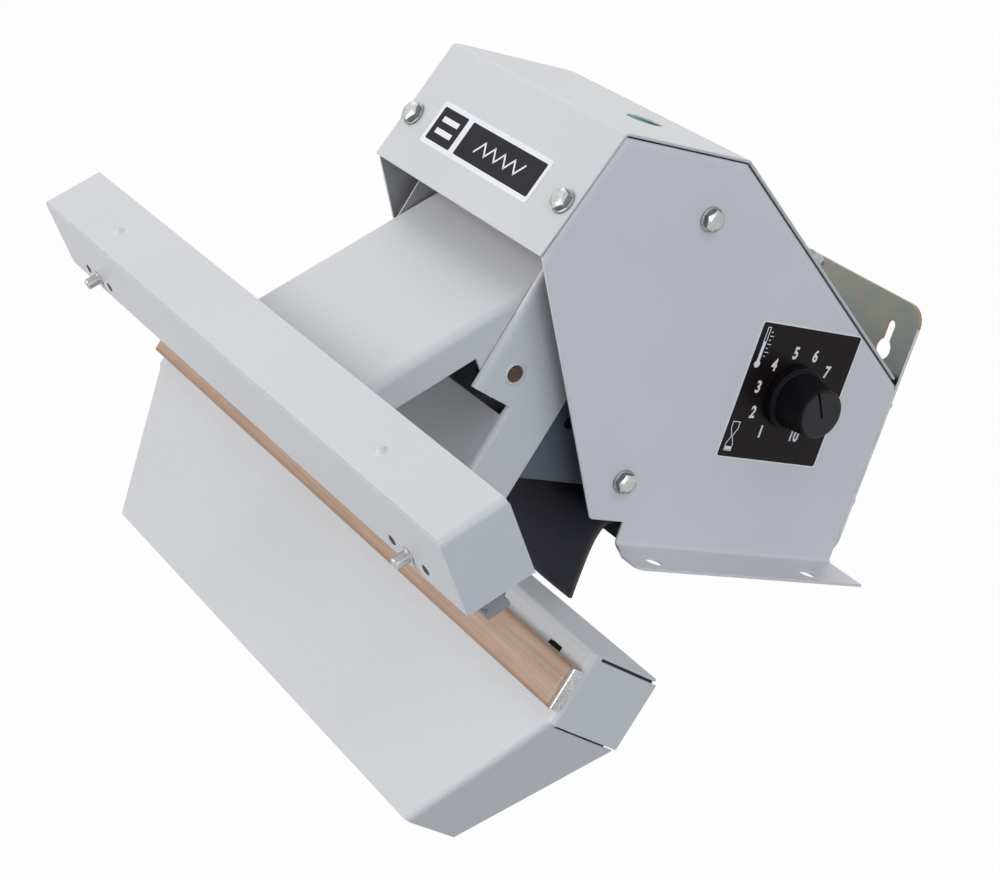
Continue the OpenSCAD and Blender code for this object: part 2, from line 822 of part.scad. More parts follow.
module left_panel() {
    color("LightSteelBlue")
        difference() {
            mirror([1, 0, 0])
                panel_sheet();
            translate([0, gland_y, inlet_z])
                rod_x(gland_d + 2 * bolt_gap, -half_w - cut, -panel_in_x + cut);
            translate([0, socket_y, inlet_z])
                rod_x(socket_d + 2 * bolt_gap, -half_w - cut, -panel_in_x + cut);
        }
}

// Cover, wall plate and floor

module top_cover() {
    color("Gainsboro")
        difference() {
            along_x(-half_w, half_w)
                bent_sheet([cover_end, top_rear, top_front, nose], sheet_t, bend_r);
            both_sides()
                cover_bolt_holes();
            translate([rocker_x, rocker_y, body_h - sheet_t - cut])
                cylinder(d = rocker_hole_d, h = sheet_t + 2 * cut);
        }
}

module keyhole() {
    translate([key_x, key_z])
        circle(d = key_d);
    translate([key_x, key_z + key_slot_l])
        circle(d = key_slot_w);
    translate([key_x - key_slot_w / 2, key_z])
        square([key_slot_w, key_slot_l]);
}

module wall_plate() {
    outline = box2([-half_w, plate_bottom_z], [half_w, plate_top_z]);
    color("DarkKhaki")
        difference() {
            along_y(rear_y, rear_y + plate_t)
                difference() {
                    polygon(round_loop(outline, plate_corner_r));
                    both_sides()
                        keyhole();
                }
            both_sides()
                at_wall_bolts()
                    rod_y(bolt_hole_d, -cut, plate_t + cut);
        }
}

module floor_tray() {
    wide = panel_in_x - tray_gap;
    rear = rear_y - sheet_t - tray_gap;
    color("DimGray")
        difference() {
            union() {
                along_x(-wide, wide)
                    bent_sheet([
                        [rear, tray_z], [tray_front_y, tray_z], [tray_front_y, sheet_t]
                    ], sheet_t, bend_r);
                both_sides()
                    box([wide - sheet_t, tray_front_y + base_bend, sheet_t], [wide, rear, tray_z]);
            }
            clamp_holes();
        }
}

// The flap lies on the tray, runs over its front edge and hangs down
module front_flap() {
    top_z = tray_z + flap_t;
    color("DimGray")
        difference() {
            along_x(-flap_w / 2, flap_w / 2)
                bent_sheet([
                    [flap_rear_y, top_z], [flap_front_y, top_z], [flap_front_y, flap_low_z]
                ], flap_t, flap_r);
            clamp_holes();
        }
}

module at_clamp_screws() {
    for (x = [-clamp_span / 2, clamp_span / 2])
        translate([x, flap_rear_y - clamp_w / 2, tray_z + flap_t + clamp_t])
            children();
}

module clamp_holes() {
    at_clamp_screws()
        translate([0, 0, -clamp_w])
            cylinder(d = screw_hole_d, h = 2 * clamp_w);
}

module flap_clamp() {
    low = [-clamp_l / 2, flap_rear_y - clamp_w, tray_z + flap_t];
    color("Silver")
        difference() {
            box(low, low + [clamp_l, clamp_w, clamp_t]);
            clamp_holes();
        }
}

module clamp_screws() {
    grip = clamp_t + flap_t + 2 * sheet_t;
    color("Silver")
        at_clamp_screws() {
            cylinder(d = screw_head_d, h = screw_head_h);
            translate([0, 0, -grip])
                cylinder(d = screw_d, h = grip + cut);
        }
}

// Cradle that ties the lower arm to the side panels

module cradle() {
    lap_foot = jaw_point(arm_rear_v - cradle_lap, 0);
    along_arm = jaw_point(0, 1) - jaw_point(0, 0);
    low_front = meet(lap_foot, along_arm, [0, cradle_low_z], [1, 0]);
    high_front = meet(lap_foot, along_arm, [0, cradle_top_z], [1, 0]);
    low_rear = [cradle_rear_y, cradle_low_z];
    high_rear = [cradle_rear_y, cradle_top_z];
    color("SlateGray")
        difference() {
            union() {
                both_sides()
                    along_x(cradle_in_x, cradle_x)
                        polygon([low_front, low_rear, high_rear, high_front]);
                box([-cradle_in_x, cross_y, cross_low_z], [cradle_in_x, cross_y + cradle_t, cradle_top_z]);
            }
            at_side_bolts()
                rod_x(bolt_hole_d, -cradle_x - cut, cradle_x + cut);
            at_solenoid_screws()
                rod_y(screw_hole_d, -cut, cradle_t + cut);
        }
}

module at_solenoid_screws() {
    for (x = [-solenoid_span_x / 2, solenoid_span_x / 2], z = [-solenoid_span_z / 2, solenoid_span_z / 2])
        translate([x, cross_y, solenoid_mid_z + z])
            children();
}

module spacer_tubes() {
    color("Silver")
        both_sides()
            at_side_bolts()
                difference() {
                    rod_x(spacer_d, cradle_x, panel_in_x);
                    rod_x(bolt_hole_d, cradle_x - cut, panel_in_x + cut);
                }
}

module side_bolts() {
    grip = half_w - cradle_in_x + nut_t + sheet_t;
    color("Silver")
        both_sides()
            at_side_bolts()
                translate([half_w, 0, 0])
                    rotate([0, 90, 0])
                        hex_bolt(grip);
}

module side_nuts() {
    color("Silver")
        both_sides()
            at_side_bolts()
                translate([cradle_in_x - nut_t, 0, 0])
                    rotate([0, 90, 0])
                        difference() {
                            hex(bolt_hex, nut_t);
                            translate([0, 0, -cut])
                                cylinder(d = bolt_d + 2 * press_gap, h = nut_t + 2 * cut);
                        }
}

module cover_bolts() {
    color("Silver")
        both_sides()
            at_cover_bolts()
                hex_bolt(bolt_l);
}

module wall_bolts() {
    color("Silver")
        both_sides()
            at_wall_bolts()
                translate([0, plate_t, 0])
                    rotate([-90, 0, 0])
                        hex_bolt(bolt_l);
}

// Lower arm and lower jaw

module lower_arm() {
    flange = [
        [arm_web_v, lower_top], [arm_rear_v, lower_top], [arm_rear_v, ear_top_w], [-ear_v, ear_top_w],
        [-ear_v, ear_low_w], [arm_web_v, ear_low_w]
    ];
    color("Silver")
        jaw_frame()
            difference() {
                union() {
                    both_sides()
                        along_x(arm_in_x, arm_w / 2)
                            polygon(concat(
                                [flange[0], flange[1], flange[2], flange[3]],
                                corner(flange[3], flange[4], flange[5], corner_r),
                                [flange[5]]
                            ));
                    box([-arm_in_x - cut, arm_web_v, lower_top],
                        [arm_in_x + cut, arm_web_v + arm_t, web_top_w]);
                }
                translate([0, pivot_v, pivot_w])
                    rod_x(collar_d + 2 * press_gap, -arm_w, arm_w);
                // The web's bends are rounded on the outside
                both_sides()
                    translate([arm_w / 2, arm_web_v, lower_top - cut])
                        linear_extrude(ear_low_w - lower_top + cut)
                            outside_round(arm_t);
            }
}

// What a round of radius r takes off an outside corner at the origin
module outside_round(r) {
    difference() {
        translate([-r, -cut])
            square([r + cut, r + cut]);
        translate([-r, r])
            circle(r);
        translate([-r - cut, r])
            square([r + 2 * cut, r]);
    }
}

module apron_return() {
    translate([lower_len / 2, 0, 0])
        rotate([0, edge_angle, 0])
            translate([0, 0, -edge_len - base_bend])
                intersection() {
                    linear_extrude(2 * edge_len)
                        bent_sheet([[-2 * base_bend, 0], [0, 0], [0, return_top]], sheet_t, bend_r);
                    along_x(-return_top, cut)
                        polygon([
                            [-cut, 0], [return_foot, 0], [return_foot, base_bend], [return_top, edge_len],
                            [return_top, 2 * edge_len], [-cut, 2 * edge_len]
                        ]);
                }
}

module apron_sheet() {
    inner = 1.5 * base_bend / cos(edge_angle);
    intersection() {
        union() {
            both_sides()
                apron_return();
            along_y(0, sheet_t)
                polygon([
                    [-apron_foot / 2 + inner, -apron_h], [apron_foot / 2 - inner, -apron_h],
                    [lower_len / 2 - inner, 0], [-lower_len / 2 + inner, 0]
                ]);
        }
        box([-lower_len, -cut, -apron_h], [lower_len, return_top + cut, -cap_low - cap_slot]);
    }
}

module lower_jaw() {
    end = lower_len / 2;
    flat_end = end - 1.5 * base_bend;
    color("Silver")
        jaw_frame()
            difference() {
                union() {
                    apron_sheet();
                    box([-flat_end, 0, -cap_low - cap_slot - cut], [flat_end, sheet_t, cut - cap_low]);
                    translate([0, 0, -cap_low])
                        linear_extrude(cap_top + cap_low)
                            bent_sheet([
                                [-end, cap_depth], [-end, 0], [end, 0], [end, cap_depth]
                            ], sheet_t, bend_r);
                    along_x(-flat_end, flat_end)
                        bent_sheet([[lower_depth, lower_top], [0, lower_top], [0, bar_low]], sheet_t, bend_r);
                    along_x(-end, end)
                        polygon(box2([1.5 * base_bend, lower_top - sheet_t], [lower_depth, lower_top]));
                }
                both_sides() {
                    translate([lead_x, 0, bar_top])
                        box([-lead_l / 2, -cut, -lead_h / 2], [lead_l / 2, sheet_t + cut, lead_h / 2]);
                    at_terminal()
                        rod_y(terminal_hole_d, -cut, sheet_t + cut);
                }
            }
}

module at_terminal() {
    translate([terminal_x, 0, bar_mid])
        children();
}

module seal_bar() {
    color("LightGray")
        jaw_frame()
            difference() {
                box([-lower_len / 2, -bar_t, bar_low], [lower_len / 2, 0, bar_top]);
                both_sides()
                    at_terminal() {
                        rod_y(terminal_hole_d, -bar_t - cut, cut);
                        rod_y(screw_head_d + 2 * bolt_gap, -bar_t - cut, terminal_head_t - bar_t);
                    }
            }
}

module glass_tape() {
    color("Ivory")
        jaw_frame()
            box([-cloth_end, -tape_v, bar_low], [cloth_end, -bar_t, bar_top]);
}

module heating_ribbon() {
    color("DarkGray")
        jaw_frame()
            box([-lead_x, -ribbon_v, rubber_mid - ribbon_w / 2],
                [lead_x, -tape_v, rubber_mid + ribbon_w / 2]);
}

// Cloth over the bar's face, turned down along both its edges
module ptfe_cover() {
    color("Tan")
        jaw_frame()
            along_x(-cloth_end, cloth_end)
                difference() {
                    polygon(box2([-cloth_v, bar_low - cloth_t], [cloth_turn - bar_t, bar_top + cloth_t]));
                    polygon(box2([-ribbon_v, bar_low], [cut, bar_top]));
                }
}

module terminal_screws() {
    color("Peru")
        jaw_frame()
            both_sides()
                at_terminal() {
                    rod_y(screw_head_d, -bar_t, terminal_head_t - bar_t);
                    rod_y(screw_d, -bar_t, terminal_l);
                }
}

module terminal_nuts() {
    color("Peru")
        jaw_frame()
            both_sides()
                at_terminal()
                    translate([0, sheet_t + terminal_nut_t, 0])
                        rotate([90, 0, 0])
                            difference() {
                                hex(terminal_nut, terminal_nut_t);
                                translate([0, 0, -cut])
                                    cylinder(d = screw_d + 2 * press_gap, h = terminal_nut_t + 2 * cut);
                            }
}

// Pivot

module at_pivot() {
    translate([0, pivot[0], pivot[1]])
        children();
}

module pivot_axle() {
    axle_x = arm_w / 2 + rim_t;
    color("SaddleBrown")
        at_pivot()
            rod_x(axle_d, -axle_x, axle_x);
}

module axle_collars() {
    color("Silver")
        both_sides()
            at_pivot()
                difference() {
                    union() {
                        rod_x(collar_d, arm_in_x, arm_w / 2);
                        rod_x(collar_d + 2 * rim_out, arm_w / 2, arm_w / 2 + rim_t);
                    }
                    rod_x(axle_d + 2 * press_gap, arm_in_x - cut, arm_w);
                }
}

module arm_bushes() {
    inner = upper_arm_x - upper_arm_t;
    color("DarkGoldenrod")
        both_sides()
            at_pivot()
                difference() {
                    union() {
                        rod_x(bush_d, inner, upper_arm_x);
                        rod_x(bush_d + 2 * rim_out, inner - bush_wall, inner);
                    }
                    rod_x(axle_bore_d, inner - bush_wall - cut, arm_w);
                }
}

// Upper arm and upper jaw, drawn closed

module upper_arm() {
    flange_v = upper_arm_v - upper_arm_depth;
    lobe = bush_d / 2 + rim_out;
    color("WhiteSmoke")
        upper_frame()
            difference() {
                union() {
                    translate([0, 0, upper_rear_w])
                        linear_extrude(upper_arm_top_w - upper_rear_w)
                            bent_sheet([
                                [-upper_arm_x, -flange_v], [-upper_arm_x, -upper_arm_v],
                                [upper_arm_x, -upper_arm_v], [upper_arm_x, -flange_v]
                            ], upper_arm_t, upper_arm_r);
                    both_sides()
                        along_x(upper_arm_x - upper_arm_t, upper_arm_x)
                            polygon([
                                [-flange_v - cut, ear_low_w], [pivot_v + lobe, ear_low_w],
                                [pivot_v + lobe, pivot_w + lobe], [-flange_v / 2, upper_arm_top_w],
                                [-flange_v - cut, upper_arm_top_w]
                            ]);
                }
                translate([0, pivot_v, pivot_w])
                    rod_x(bush_d + 2 * press_gap, -arm_w, arm_w);
            }
}

// Folded channel, with end caps turned down from its top and welded to its walls
module upper_jaw() {
    end = upper_len / 2;
    cap_gap = sheet_t - cut;
    color("WhiteSmoke")
        upper_frame()
            difference() {
                union() {
                    along_x(-end + base_bend, end - base_bend)
                        upper_section();
                    both_sides()
                        along_x(end - base_bend - cut, end)
                            difference() {
                                upper_section();
                                polygon(box2(
                                    [-upper_top_v - cut, cap_gap - upper_low], [0, upper_rear_w - cap_gap]
                                ));
                            }
                    translate([0, 0, cap_gap - upper_low])
                        linear_extrude(upper_w - 2 * cap_gap)
                            bent_sheet([
                                [-end, -upper_open_v - panel_gap], [-end, -upper_top_v], [end, -upper_top_v],
                                [end, -upper_open_v - panel_gap]
                            ], sheet_t, bend_r);
                }
                both_sides() {
                    at_stud() {
                        rod_along_w(stud_d + 2 * press_gap, -cut, sheet_t + cut);
                        for (s = [-stud_hole_s, stud_hole_s])
                            translate([s, 0, 0])
                                rod_along_w(stud_hole_d, -cut, sheet_t + cut);
                    }
                    at_rivet()
                        rod_y(screw_d + 2 * press_gap, -cut, sheet_t + cut);
                }
            }
}

module upper_section() {
    bent_sheet([
        [-upper_open_v, upper_rear_w], [-upper_top_v, upper_rear_w],
        [-upper_top_v, -upper_low], [-upper_open_v, -upper_low]
    ], sheet_t, bend_r);
}

module rod_along_w(d, w0, w1) {
    translate([0, 0, w0])
        cylinder(d = d, h = w1 - w0);
}

module at_stud() {
    translate([stud_x, -stud_v, -upper_low])
        children();
}

module at_rivet() {
    translate([rivet_x, -upper_top_v, rubber_mid])
        children();
}

module rubber_holder() {
    end = upper_len / 2 - base_bend;
    stem = rubber_w / 2 + rubber_gap;
    root = root_w / 2 + rubber_gap;
    root_top_v = root_open_v + root_h + rubber_gap;
    color("Silver")
        upper_frame()
            difference() {
                along_x(-end, end)
                    translate([0, rubber_mid])
                        difference() {
                            polygon(box2([-holder_top_v, -holder_half], [-holder_open_v, holder_half]));
                            polygon(box2([-root_top_v, -root], [-root_open_v + rubber_gap, root]));
                            polygon(box2([-root_open_v, -stem], [0, stem]));
                        }
                both_sides() {
                    at_stud()
                        rod_along_w(stud_d + 2 * press_gap, 0, holder_side + holder_wall / 2);
                    at_rivet()
                        rod_y(screw_d + 2 * press_gap, 0, sheet_t + holder_wall);
                }
            }
}

// Rubber strip with a root in the holder and a groove along each side
module silicone_rubber() {
    end = upper_len / 2 - base_bend;
    half = rubber_w / 2;
    groove_v = rubber_face_v + rubber_out / 2;
    groove_in = -groove_v - groove_d;
    groove_out = -groove_v + groove_d;
    color("Gray")
        upper_frame()
            along_x(-end, end)
                translate([0, rubber_mid])
                    difference() {
                        union() {
                            polygon(box2([-root_open_v - cut, -half], [-rubber_face_v, half]));
                            polygon(box2([-root_open_v - root_h, -root_w / 2], [-root_open_v, root_w / 2]));
                        }
                        for (side = [-1, 1])
                            polygon([
                                [groove_in, side * (half + cut)], [groove_in, side * half],
                                [-groove_v, side * (half - groove_d)],
                                [groove_out, side * half], [groove_out, side * (half + cut)]
                            ]);
                    }
}

// Studs through the front wall into the holder, with a collar and a chamfered end
module jaw_studs() {
    chamfer = stud_d / 8;
    color("Silver")
        upper_frame()
            both_sides()
                at_stud() {
                    rod_along_w(stud_d, chamfer - stud_l, holder_side + holder_wall / 4);
                    rod_along_w(stud_d + 2 * rim_out, -rim_t, 0);
                    translate([0, 0, -stud_l])
                        cylinder(d1 = stud_d - 2 * chamfer, d2 = stud_d, h = chamfer);
                }
}

module jaw_rivets() {
    dome_r = (rivet_d * rivet_d / 4 + rivet_h * rivet_h) / (2 * rivet_h);
    color("WhiteSmoke")
        upper_frame()
            both_sides()
                at_rivet() {
                    rod_y(screw_d, -rivet_h / 2, sheet_t + holder_wall - rubber_gap);
                    intersection() {
                        translate([0, dome_r - rivet_h, 0])
                            sphere(dome_r);
                        rod_y(rivet_d, -rivet_h, 0);
                    }
                }
}

// Drive

module drive_lever() {
    reach = [cos(lever_angle), sin(lever_angle)];
    across = left(reach);
    hub = [pivot_v, pivot_w];
    hub_neck = lever_neck * hub_r;
    end_neck = lever_neck * lever_end_r;
    plate_v = upper_arm_v - upper_arm_t;
    color("DarkGray")
        upper_frame()
            difference() {
                along_x(-lever_t / 2, lever_t / 2)
                    difference() {
                        union() {
                            translate(hub)
                                circle(hub_r);
                            translate(lever_pin_vw)
                                circle(lever_end_r);
                            polygon([
                                hub + hub_neck * across, hub - hub_neck * across,
                                lever_pin_vw - end_neck * across, lever_pin_vw + end_neck * across
                            ]);
                            polygon([
                                [-plate_v, pivot_w - hub_neck], [pivot_v, pivot_w - hub_neck],
                                hub + hub_neck * across / 2, [-plate_v, upper_arm_top_w - hub_r]
                            ]);
                        }
                        translate(hub)
                            circle(d = axle_d + 2 * fork_play);
                        translate(lever_pin_vw)
                            circle(d = lever_pin_d + 2 * press_gap);
                    }
            }
}

module lever_pin() {
    color("Silver")
        translate([0, lever_pin_y, lever_pin_z])
            rod_x(lever_pin_d, -fork_w / 2, fork_w / 2);
}

// Solenoid plunger with a fork for the lever's pin
module plunger() {
    slot_r = lever_pin_d / 2 + fork_play;
    fork_half = fork_w / 2;
    slot_x = lever_t / 2 + fork_play;
    color("SlateGray")
        translate([0, plunger_y, 0])
            difference() {
                union() {
                    box([-fork_half, -fork_half, lever_pin_z - fork_below],
                        [fork_half, fork_half, fork_top_z]);
                    translate([0, 0, fork_top_z - cut])
                        cylinder(d = plunger_d, h = plunger_top_z - fork_top_z + cut);
                }
                box([-slot_x, -fork_half - cut, lever_pin_z - fork_below - cut],
                    [slot_x, fork_half + cut, fork_top_z - yoke_t]);
                translate([0, 0, lever_pin_z]) {
                    for (y = [-pin_swing, pin_swing])
                        translate([0, y, 0])
                            rod_x(2 * slot_r, -fork_half - cut, fork_half + cut);
                    box([-fork_half - cut, -pin_swing, -slot_r], [fork_half + cut, pin_swing, slot_r]);
                }
            }
}

module plunger_bore() {
    translate([0, plunger_y, solenoid_z - cut])
        cylinder(d = plunger_d + 2 * plunger_gap, h = plunger_top_z + stroke - solenoid_z + cut);
}

module solenoid_yoke() {
    w = solenoid_w / 2;
    front_y = plunger_y - solenoid_back;
    color("SlateGray")
        difference() {
            box([-w, front_y, solenoid_z], [w, cross_y, solenoid_z + solenoid_h]);
            box([-w - cut, front_y - cut, solenoid_z + yoke_t],
                [w + cut, cross_y - yoke_t, solenoid_z + solenoid_h - yoke_t]);
            plunger_bore();
            at_solenoid_screws()
                rod_y(screw_d + 2 * press_gap, -yoke_t - cut, cut);
        }
}

module solenoid_coil() {
    color("Goldenrod")
        difference() {
            translate([0, plunger_y, solenoid_z + yoke_t + coil_gap])
                cylinder(d = coil_d, h = solenoid_h - 2 * yoke_t - 2 * coil_gap);
            plunger_bore();
            translate([0, plunger_y, solenoid_z])
                cylinder(d = plunger_d + 2 * plunger_gap, h = solenoid_h);
        }
}

module solenoid_screws() {
    color("Silver")
        at_solenoid_screws()
            translate([0, cradle_t, 0]) {
                rod_y(screw_head_d, 0, screw_head_h);
                rod_y(screw_d, -cradle_t - yoke_t / 2, cut);
            }
}

// Compression spring round the plunger, as one tube swept along a helix
module return_spring() {
    low = fork_top_z + spring_end_gap + spring_wire_d / 2;
    high = solenoid_z - spring_end_gap - spring_wire_d / 2;
    rings = spring_turns * turn_steps;
    points = [
        for (i = [0:rings], j = [0:wire_sides - 1])
            let (a = 360 * i / turn_steps, b = 360 * j / wire_sides)
            let (r = spring_d / 2 + spring_wire_d / 2 * cos(b))
            [r * cos(a), r * sin(a), low + (high - low) * i / rings + spring_wire_d / 2 * sin(b)]
    ];
    faces = concat(
        [[for (j = [0:wire_sides - 1]) j]],
        [for (i = [0:rings - 1], j = [0:wire_sides - 1])
            let (k = (j + 1) % wire_sides, p = i * wire_sides, q = p + wire_sides)
            each [[p + j, q + j, q + k], [p + j, q + k, p + k]]],
        [[for (j = [wire_sides - 1:-1:0]) rings * wire_sides + j]]
    );
    pitch = (high - low) / spring_turns;
    echo(spring_gap_between_turns = pitch - spring_wire_d);
    color("Silver")
        translate([0, plunger_y, 0])
            polyhedron(points, faces, convexity = spring_turns);
}

// Electrics

module transformer_core() {
    half = core_w / 2;
    window_h = core_h - 2 * core_yoke;
    color("DarkSlateGray")
        along_y(core_y - core_d / 2, core_y + core_d / 2)
            translate([0, tray_z])
                difference() {
                    polygon(box2([-half, 0], [half, core_h]));
                    for (x = [-half + core_leg, half - 2 * core_leg])
                        translate([x, core_yoke])
                            square([core_leg, window_h]);
                }
}

module transformer_coil() {
    leg = core_leg_in / 2 + winding_gap;
    out = core_w / 2 - core_leg - winding_gap;
    deep = core_d / 2 + coil_bulge;
    color("Peru")
        translate([0, core_y, tray_z + core_yoke + winding_gap])
            linear_extrude(core_h - 2 * core_yoke - 2 * winding_gap)
                difference() {
                    polygon(round_loop(box2([-out, -deep], [out, deep]), corner_r));
                    polygon(box2([-leg, -core_d / 2 - winding_gap], [leg, core_d / 2 + winding_gap]));
                }
}

module at_standoffs() {
    for (y = [standoff_in, board_l - standoff_in], z = [standoff_in, board_h - standoff_in])
        translate([panel_in_x, board_front_y + y, board_low_z + z])
            children();
}

module control_board() {
    low = [panel_in_x - board_gap - board_t, board_front_y, board_low_z];
    color("DarkGreen")
        difference() {
            union() {
                box(low, low + [board_t, board_l, board_h]);
                for (i = [0:2])
                    translate(low + [0, board_l * (2 * i + 1) / 6, board_h / 2])
                        box([-part_h + i * board_t, -board_l / 10, -board_h / 5],
                            [board_t / 2, board_l / 10, board_h / 5]);
            }
            at_standoffs()
                rod_x(screw_hole_d, -board_gap - board_t - cut, cut);
        }
}

module board_standoffs() {
    color("Silver")
        at_standoffs() {
            rod_x(standoff_d, -board_gap, 0);
            rod_x(screw_d, -board_gap - board_t - cut, 0);
        }
}

module at_dial() {
    translate([half_w, dial_y, dial_z])
        children();
}

module potentiometer() {
    color("SteelBlue")
        at_dial()
            difference() {
                union() {
                    rod_x(pot_d, -sheet_t - pot_h, -sheet_t);
                    rod_x(pot_bush_d, -sheet_t - cut, label_t + pot_bush_l);
                }
                rod_x(shaft_d + 2 * axle_gap, -sheet_t - pot_h - cut, knob_h);
            }
}

module pot_nut() {
    color("Silver")
        at_dial()
            translate([label_t, 0, 0])
                rotate([0, 90, 0])
                    difference() {
                        hex(pot_nut_w, pot_nut_t);
                        translate([0, 0, -cut])
                            cylinder(d = pot_bush_d + 2 * press_gap, h = pot_nut_t + 2 * cut);
                    }
}

module dial_label() {
    color("Black")
        difference() {
            translate([0, dial_y - label_off_y, dial_z])
                along_x(half_w, half_w + label_t)
                    polygon(round_loop(box2([-label_w, -label_h] / 2, [label_w, label_h] / 2), label_r));
            at_dial()
                rod_x(pot_bush_d + 2 * bolt_gap, -cut, cut);
        }
}

// Plate for a name on the front slope, left blank
module name_plate() {
    color("Black")
        translate([-name_left, 0, 0])
            on_slope(nose, top_front, name_s + name_h / 2)
                linear_extrude(label_t)
                    polygon(round_loop(box2([-name_w, -name_h] / 2, [name_w, name_h] / 2), label_r));
}

// Knob with a skirt, a ribbed grip and a pointer groove
module knob() {
    skirt_r = knob_skirt_d / 2;
    grip_r = knob_grip_d / 2;
    grip_low = knob_rim_h + knob_slope_h;
    nut_r = pot_nut_w / 2 / cos(30) + knob_gap;
    color("DimGray")
        translate([knob_x, dial_y, dial_z])
            rotate([0, 90, 0])
                difference() {
                    union() {
                        rotate_extrude()
                            polygon([
                                [0, 0], [skirt_r, 0], [skirt_r, knob_rim_h],
                                [grip_r + rib_d / 2, grip_low], [0, grip_low]
                            ]);
                        translate([0, 0, grip_low - cut])
                            linear_extrude(knob_h - grip_low + cut)
                                polygon([
                                    for (i = [0:knob_ribs * 4 - 1])
                                        let (a = 360 * i / (knob_ribs * 4))
                                        (i % 4 < 2 ? grip_r : grip_r - rib_d) * [cos(a), sin(a)]
                                ]);
                    }
                    translate([0, 0, -cut])
                        cylinder(r = nut_r, h = pot_bush_l + cut);
                    translate([0, 0, -cut])
                        cylinder(d = shaft_d + 2 * press_gap, h = shaft_in + cut);
                    rotate([0, 0, pointer_angle + 90])
                        translate([0, -pointer_w / 2, knob_h - pointer_d])
                            cube([skirt_r, pointer_w, pointer_d + cut]);
                }
}

module knob_shaft() {
    color("Silver")
        at_dial()
            rod_x(shaft_d, -sheet_t - pot_h, label_t + knob_gap + shaft_in - rubber_gap);
}

module at_rocker() {
    translate([rocker_x, rocker_y, rocker_z])
        children();
}

module switch_rocker() {
    top = rocker_axis_d - rocker_gap;
    dish_r = 2 * rocker_d;
    reach = rocker_d / 2 + rocker_gap + trunnion_l;
    color("SeaGreen")
        at_rocker()
            rotate([-rocker_tilt, 0, 0]) {
                difference() {
                    translate([0, 0, top - rocker_h])
                        cylinder(d = rocker_d, h = rocker_h);
                    translate([0, 0, top + sqrt(dish_r * dish_r - rocker_d * rocker_d / 4)])
                        sphere(dish_r);
                }
                rod_x(trunnion_d, -reach, reach);
            }
}

module switch_body() {
    under = sheet_t - rocker_axis_d;
    pocket = rocker_h - rocker_axis_d + 2 * rocker_gap + rocker_d / 2 * sin(rocker_tilt);
    seat = rocker_hole_d / 2 + trunnion_l + rocker_gap;
    color("DimGray")
        at_rocker()
            difference() {
                translate([0, 0, rocker_axis_d - sheet_t - switch_h])
                    cylinder(d = rocker_hole_d + 2 * switch_wall, h = switch_h);
                translate([0, 0, -pocket])
                    cylinder(d = rocker_hole_d, h = pocket - under + cut);
                rod_x(trunnion_d + 2 * axle_gap, -seat, seat);
            }
}

module limit_switch() {
    low = [fork_w / 2 + cradle_t, cross_y - limit_d, cross_low_z + cradle_t];
    lever = low + [limit_w / 4, limit_d / 3, limit_h - cut];
    color("DimGray")
        union() {
            box(low, low + [limit_w, limit_d, limit_h]);
            box(lever, lever + [limit_w / 4, limit_d / 3, 2 * cut]);
        }
}

module terminal_block() {
    low = [-panel_in_x + block_in, -block_l / 2, tray_z];
    color("WhiteSmoke")
        difference() {
            box(low, low + [block_w, block_l, block_h]);
            for (i = [0:3])
                translate(low + [block_w / 2, block_l * (2 * i + 1) / 8, block_h / 2])
                    cylinder(d = screw_d, h = block_h);
        }
}

module gland_shape(d, x0, x1) {
    translate([0, gland_y, inlet_z])
        rod_x(d, x0, x1);
}

// Inlet gland in the left panel; the hexagon clamps it from outside
module cable_gland() {
    out = -half_w - gland_l;
    inside = -panel_in_x + gland_nut_t + 2 * sheet_t;
    color("DimGray")
        difference() {
            union() {
                gland_shape(gland_d, out, inside);
                translate([-half_w - gland_nut_t, gland_y, inlet_z])
                    rotate([0, 90, 0])
                        hex(gland_hex, gland_nut_t);
                translate([out, gland_y, inlet_z])
                    rotate([0, 90, 0])
                        hex(gland_hex, gland_nut_t);
            }
            gland_shape(gland_bore, out - cut, inside + cut);
        }
}

module gland_nut() {
    color("DimGray")
        difference() {
            translate([-panel_in_x, gland_y, inlet_z])
                rotate([0, 90, 0])
                    hex(gland_hex, gland_nut_t);
            gland_shape(gland_d + 2 * press_gap, -panel_in_x - cut, 0);
        }
}

module pedal_socket() {
    bore = socket_d - 4 * sheet_t;
    color("DimGray")
        translate([0, socket_y, inlet_z])
            difference() {
                union() {
                    rod_x(socket_d, -half_w - cut, -panel_in_x + socket_in);
                    rod_x(socket_rim_d, -half_w - socket_rim_t, -half_w);
                }
                rod_x(bore, -half_w - socket_rim_t - cut, -half_w + socket_in / 2);
            }
}

right_panel();
left_panel();
top_cover();
wall_plate();
floor_tray();
front_flap();
flap_clamp();
clamp_screws();
cradle();
lower_arm();
lower_jaw();
seal_bar();
glass_tape();
heating_ribbon();
ptfe_cover();
terminal_screws();
terminal_nuts();
pivot_axle();
axle_collars();
spacer_tubes();
side_bolts();
side_nuts();
cover_bolts();
wall_bolts();
solenoid_yoke();
solenoid_coil();
solenoid_screws();
return_spring();
transformer_core();
transformer_coil();
control_board();
board_standoffs();
potentiometer();
pot_nut();
dial_label();
name_plate();
switch_body();
limit_switch();
terminal_block();
cable_gland();
gland_nut();
pedal_socket();
upper_arm();
upper_jaw();
rubber_holder();
silicone_rubber();
jaw_studs();
jaw_rivets();
arm_bushes();
drive_lever();
lever_pin();
plunger();
knob();
knob_shaft();
switch_rocker();
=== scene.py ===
# %% [markdown]
# # A jaw heat sealer
# This bench machine closes plastic bags: a rubber strip on the upper jaw presses them against a hot ribbon.
# The folded steel sheets, bolts, arms and drive come from the CAD frame, at their real size and place.
# Blender adds what the CAD solids leave out: rounded sheet edges, turned and moulded parts,
# cloth, print, and a finish for every surface. Everything stays in the CAD frame, in metres.

# %% Load the frame
import json
import math

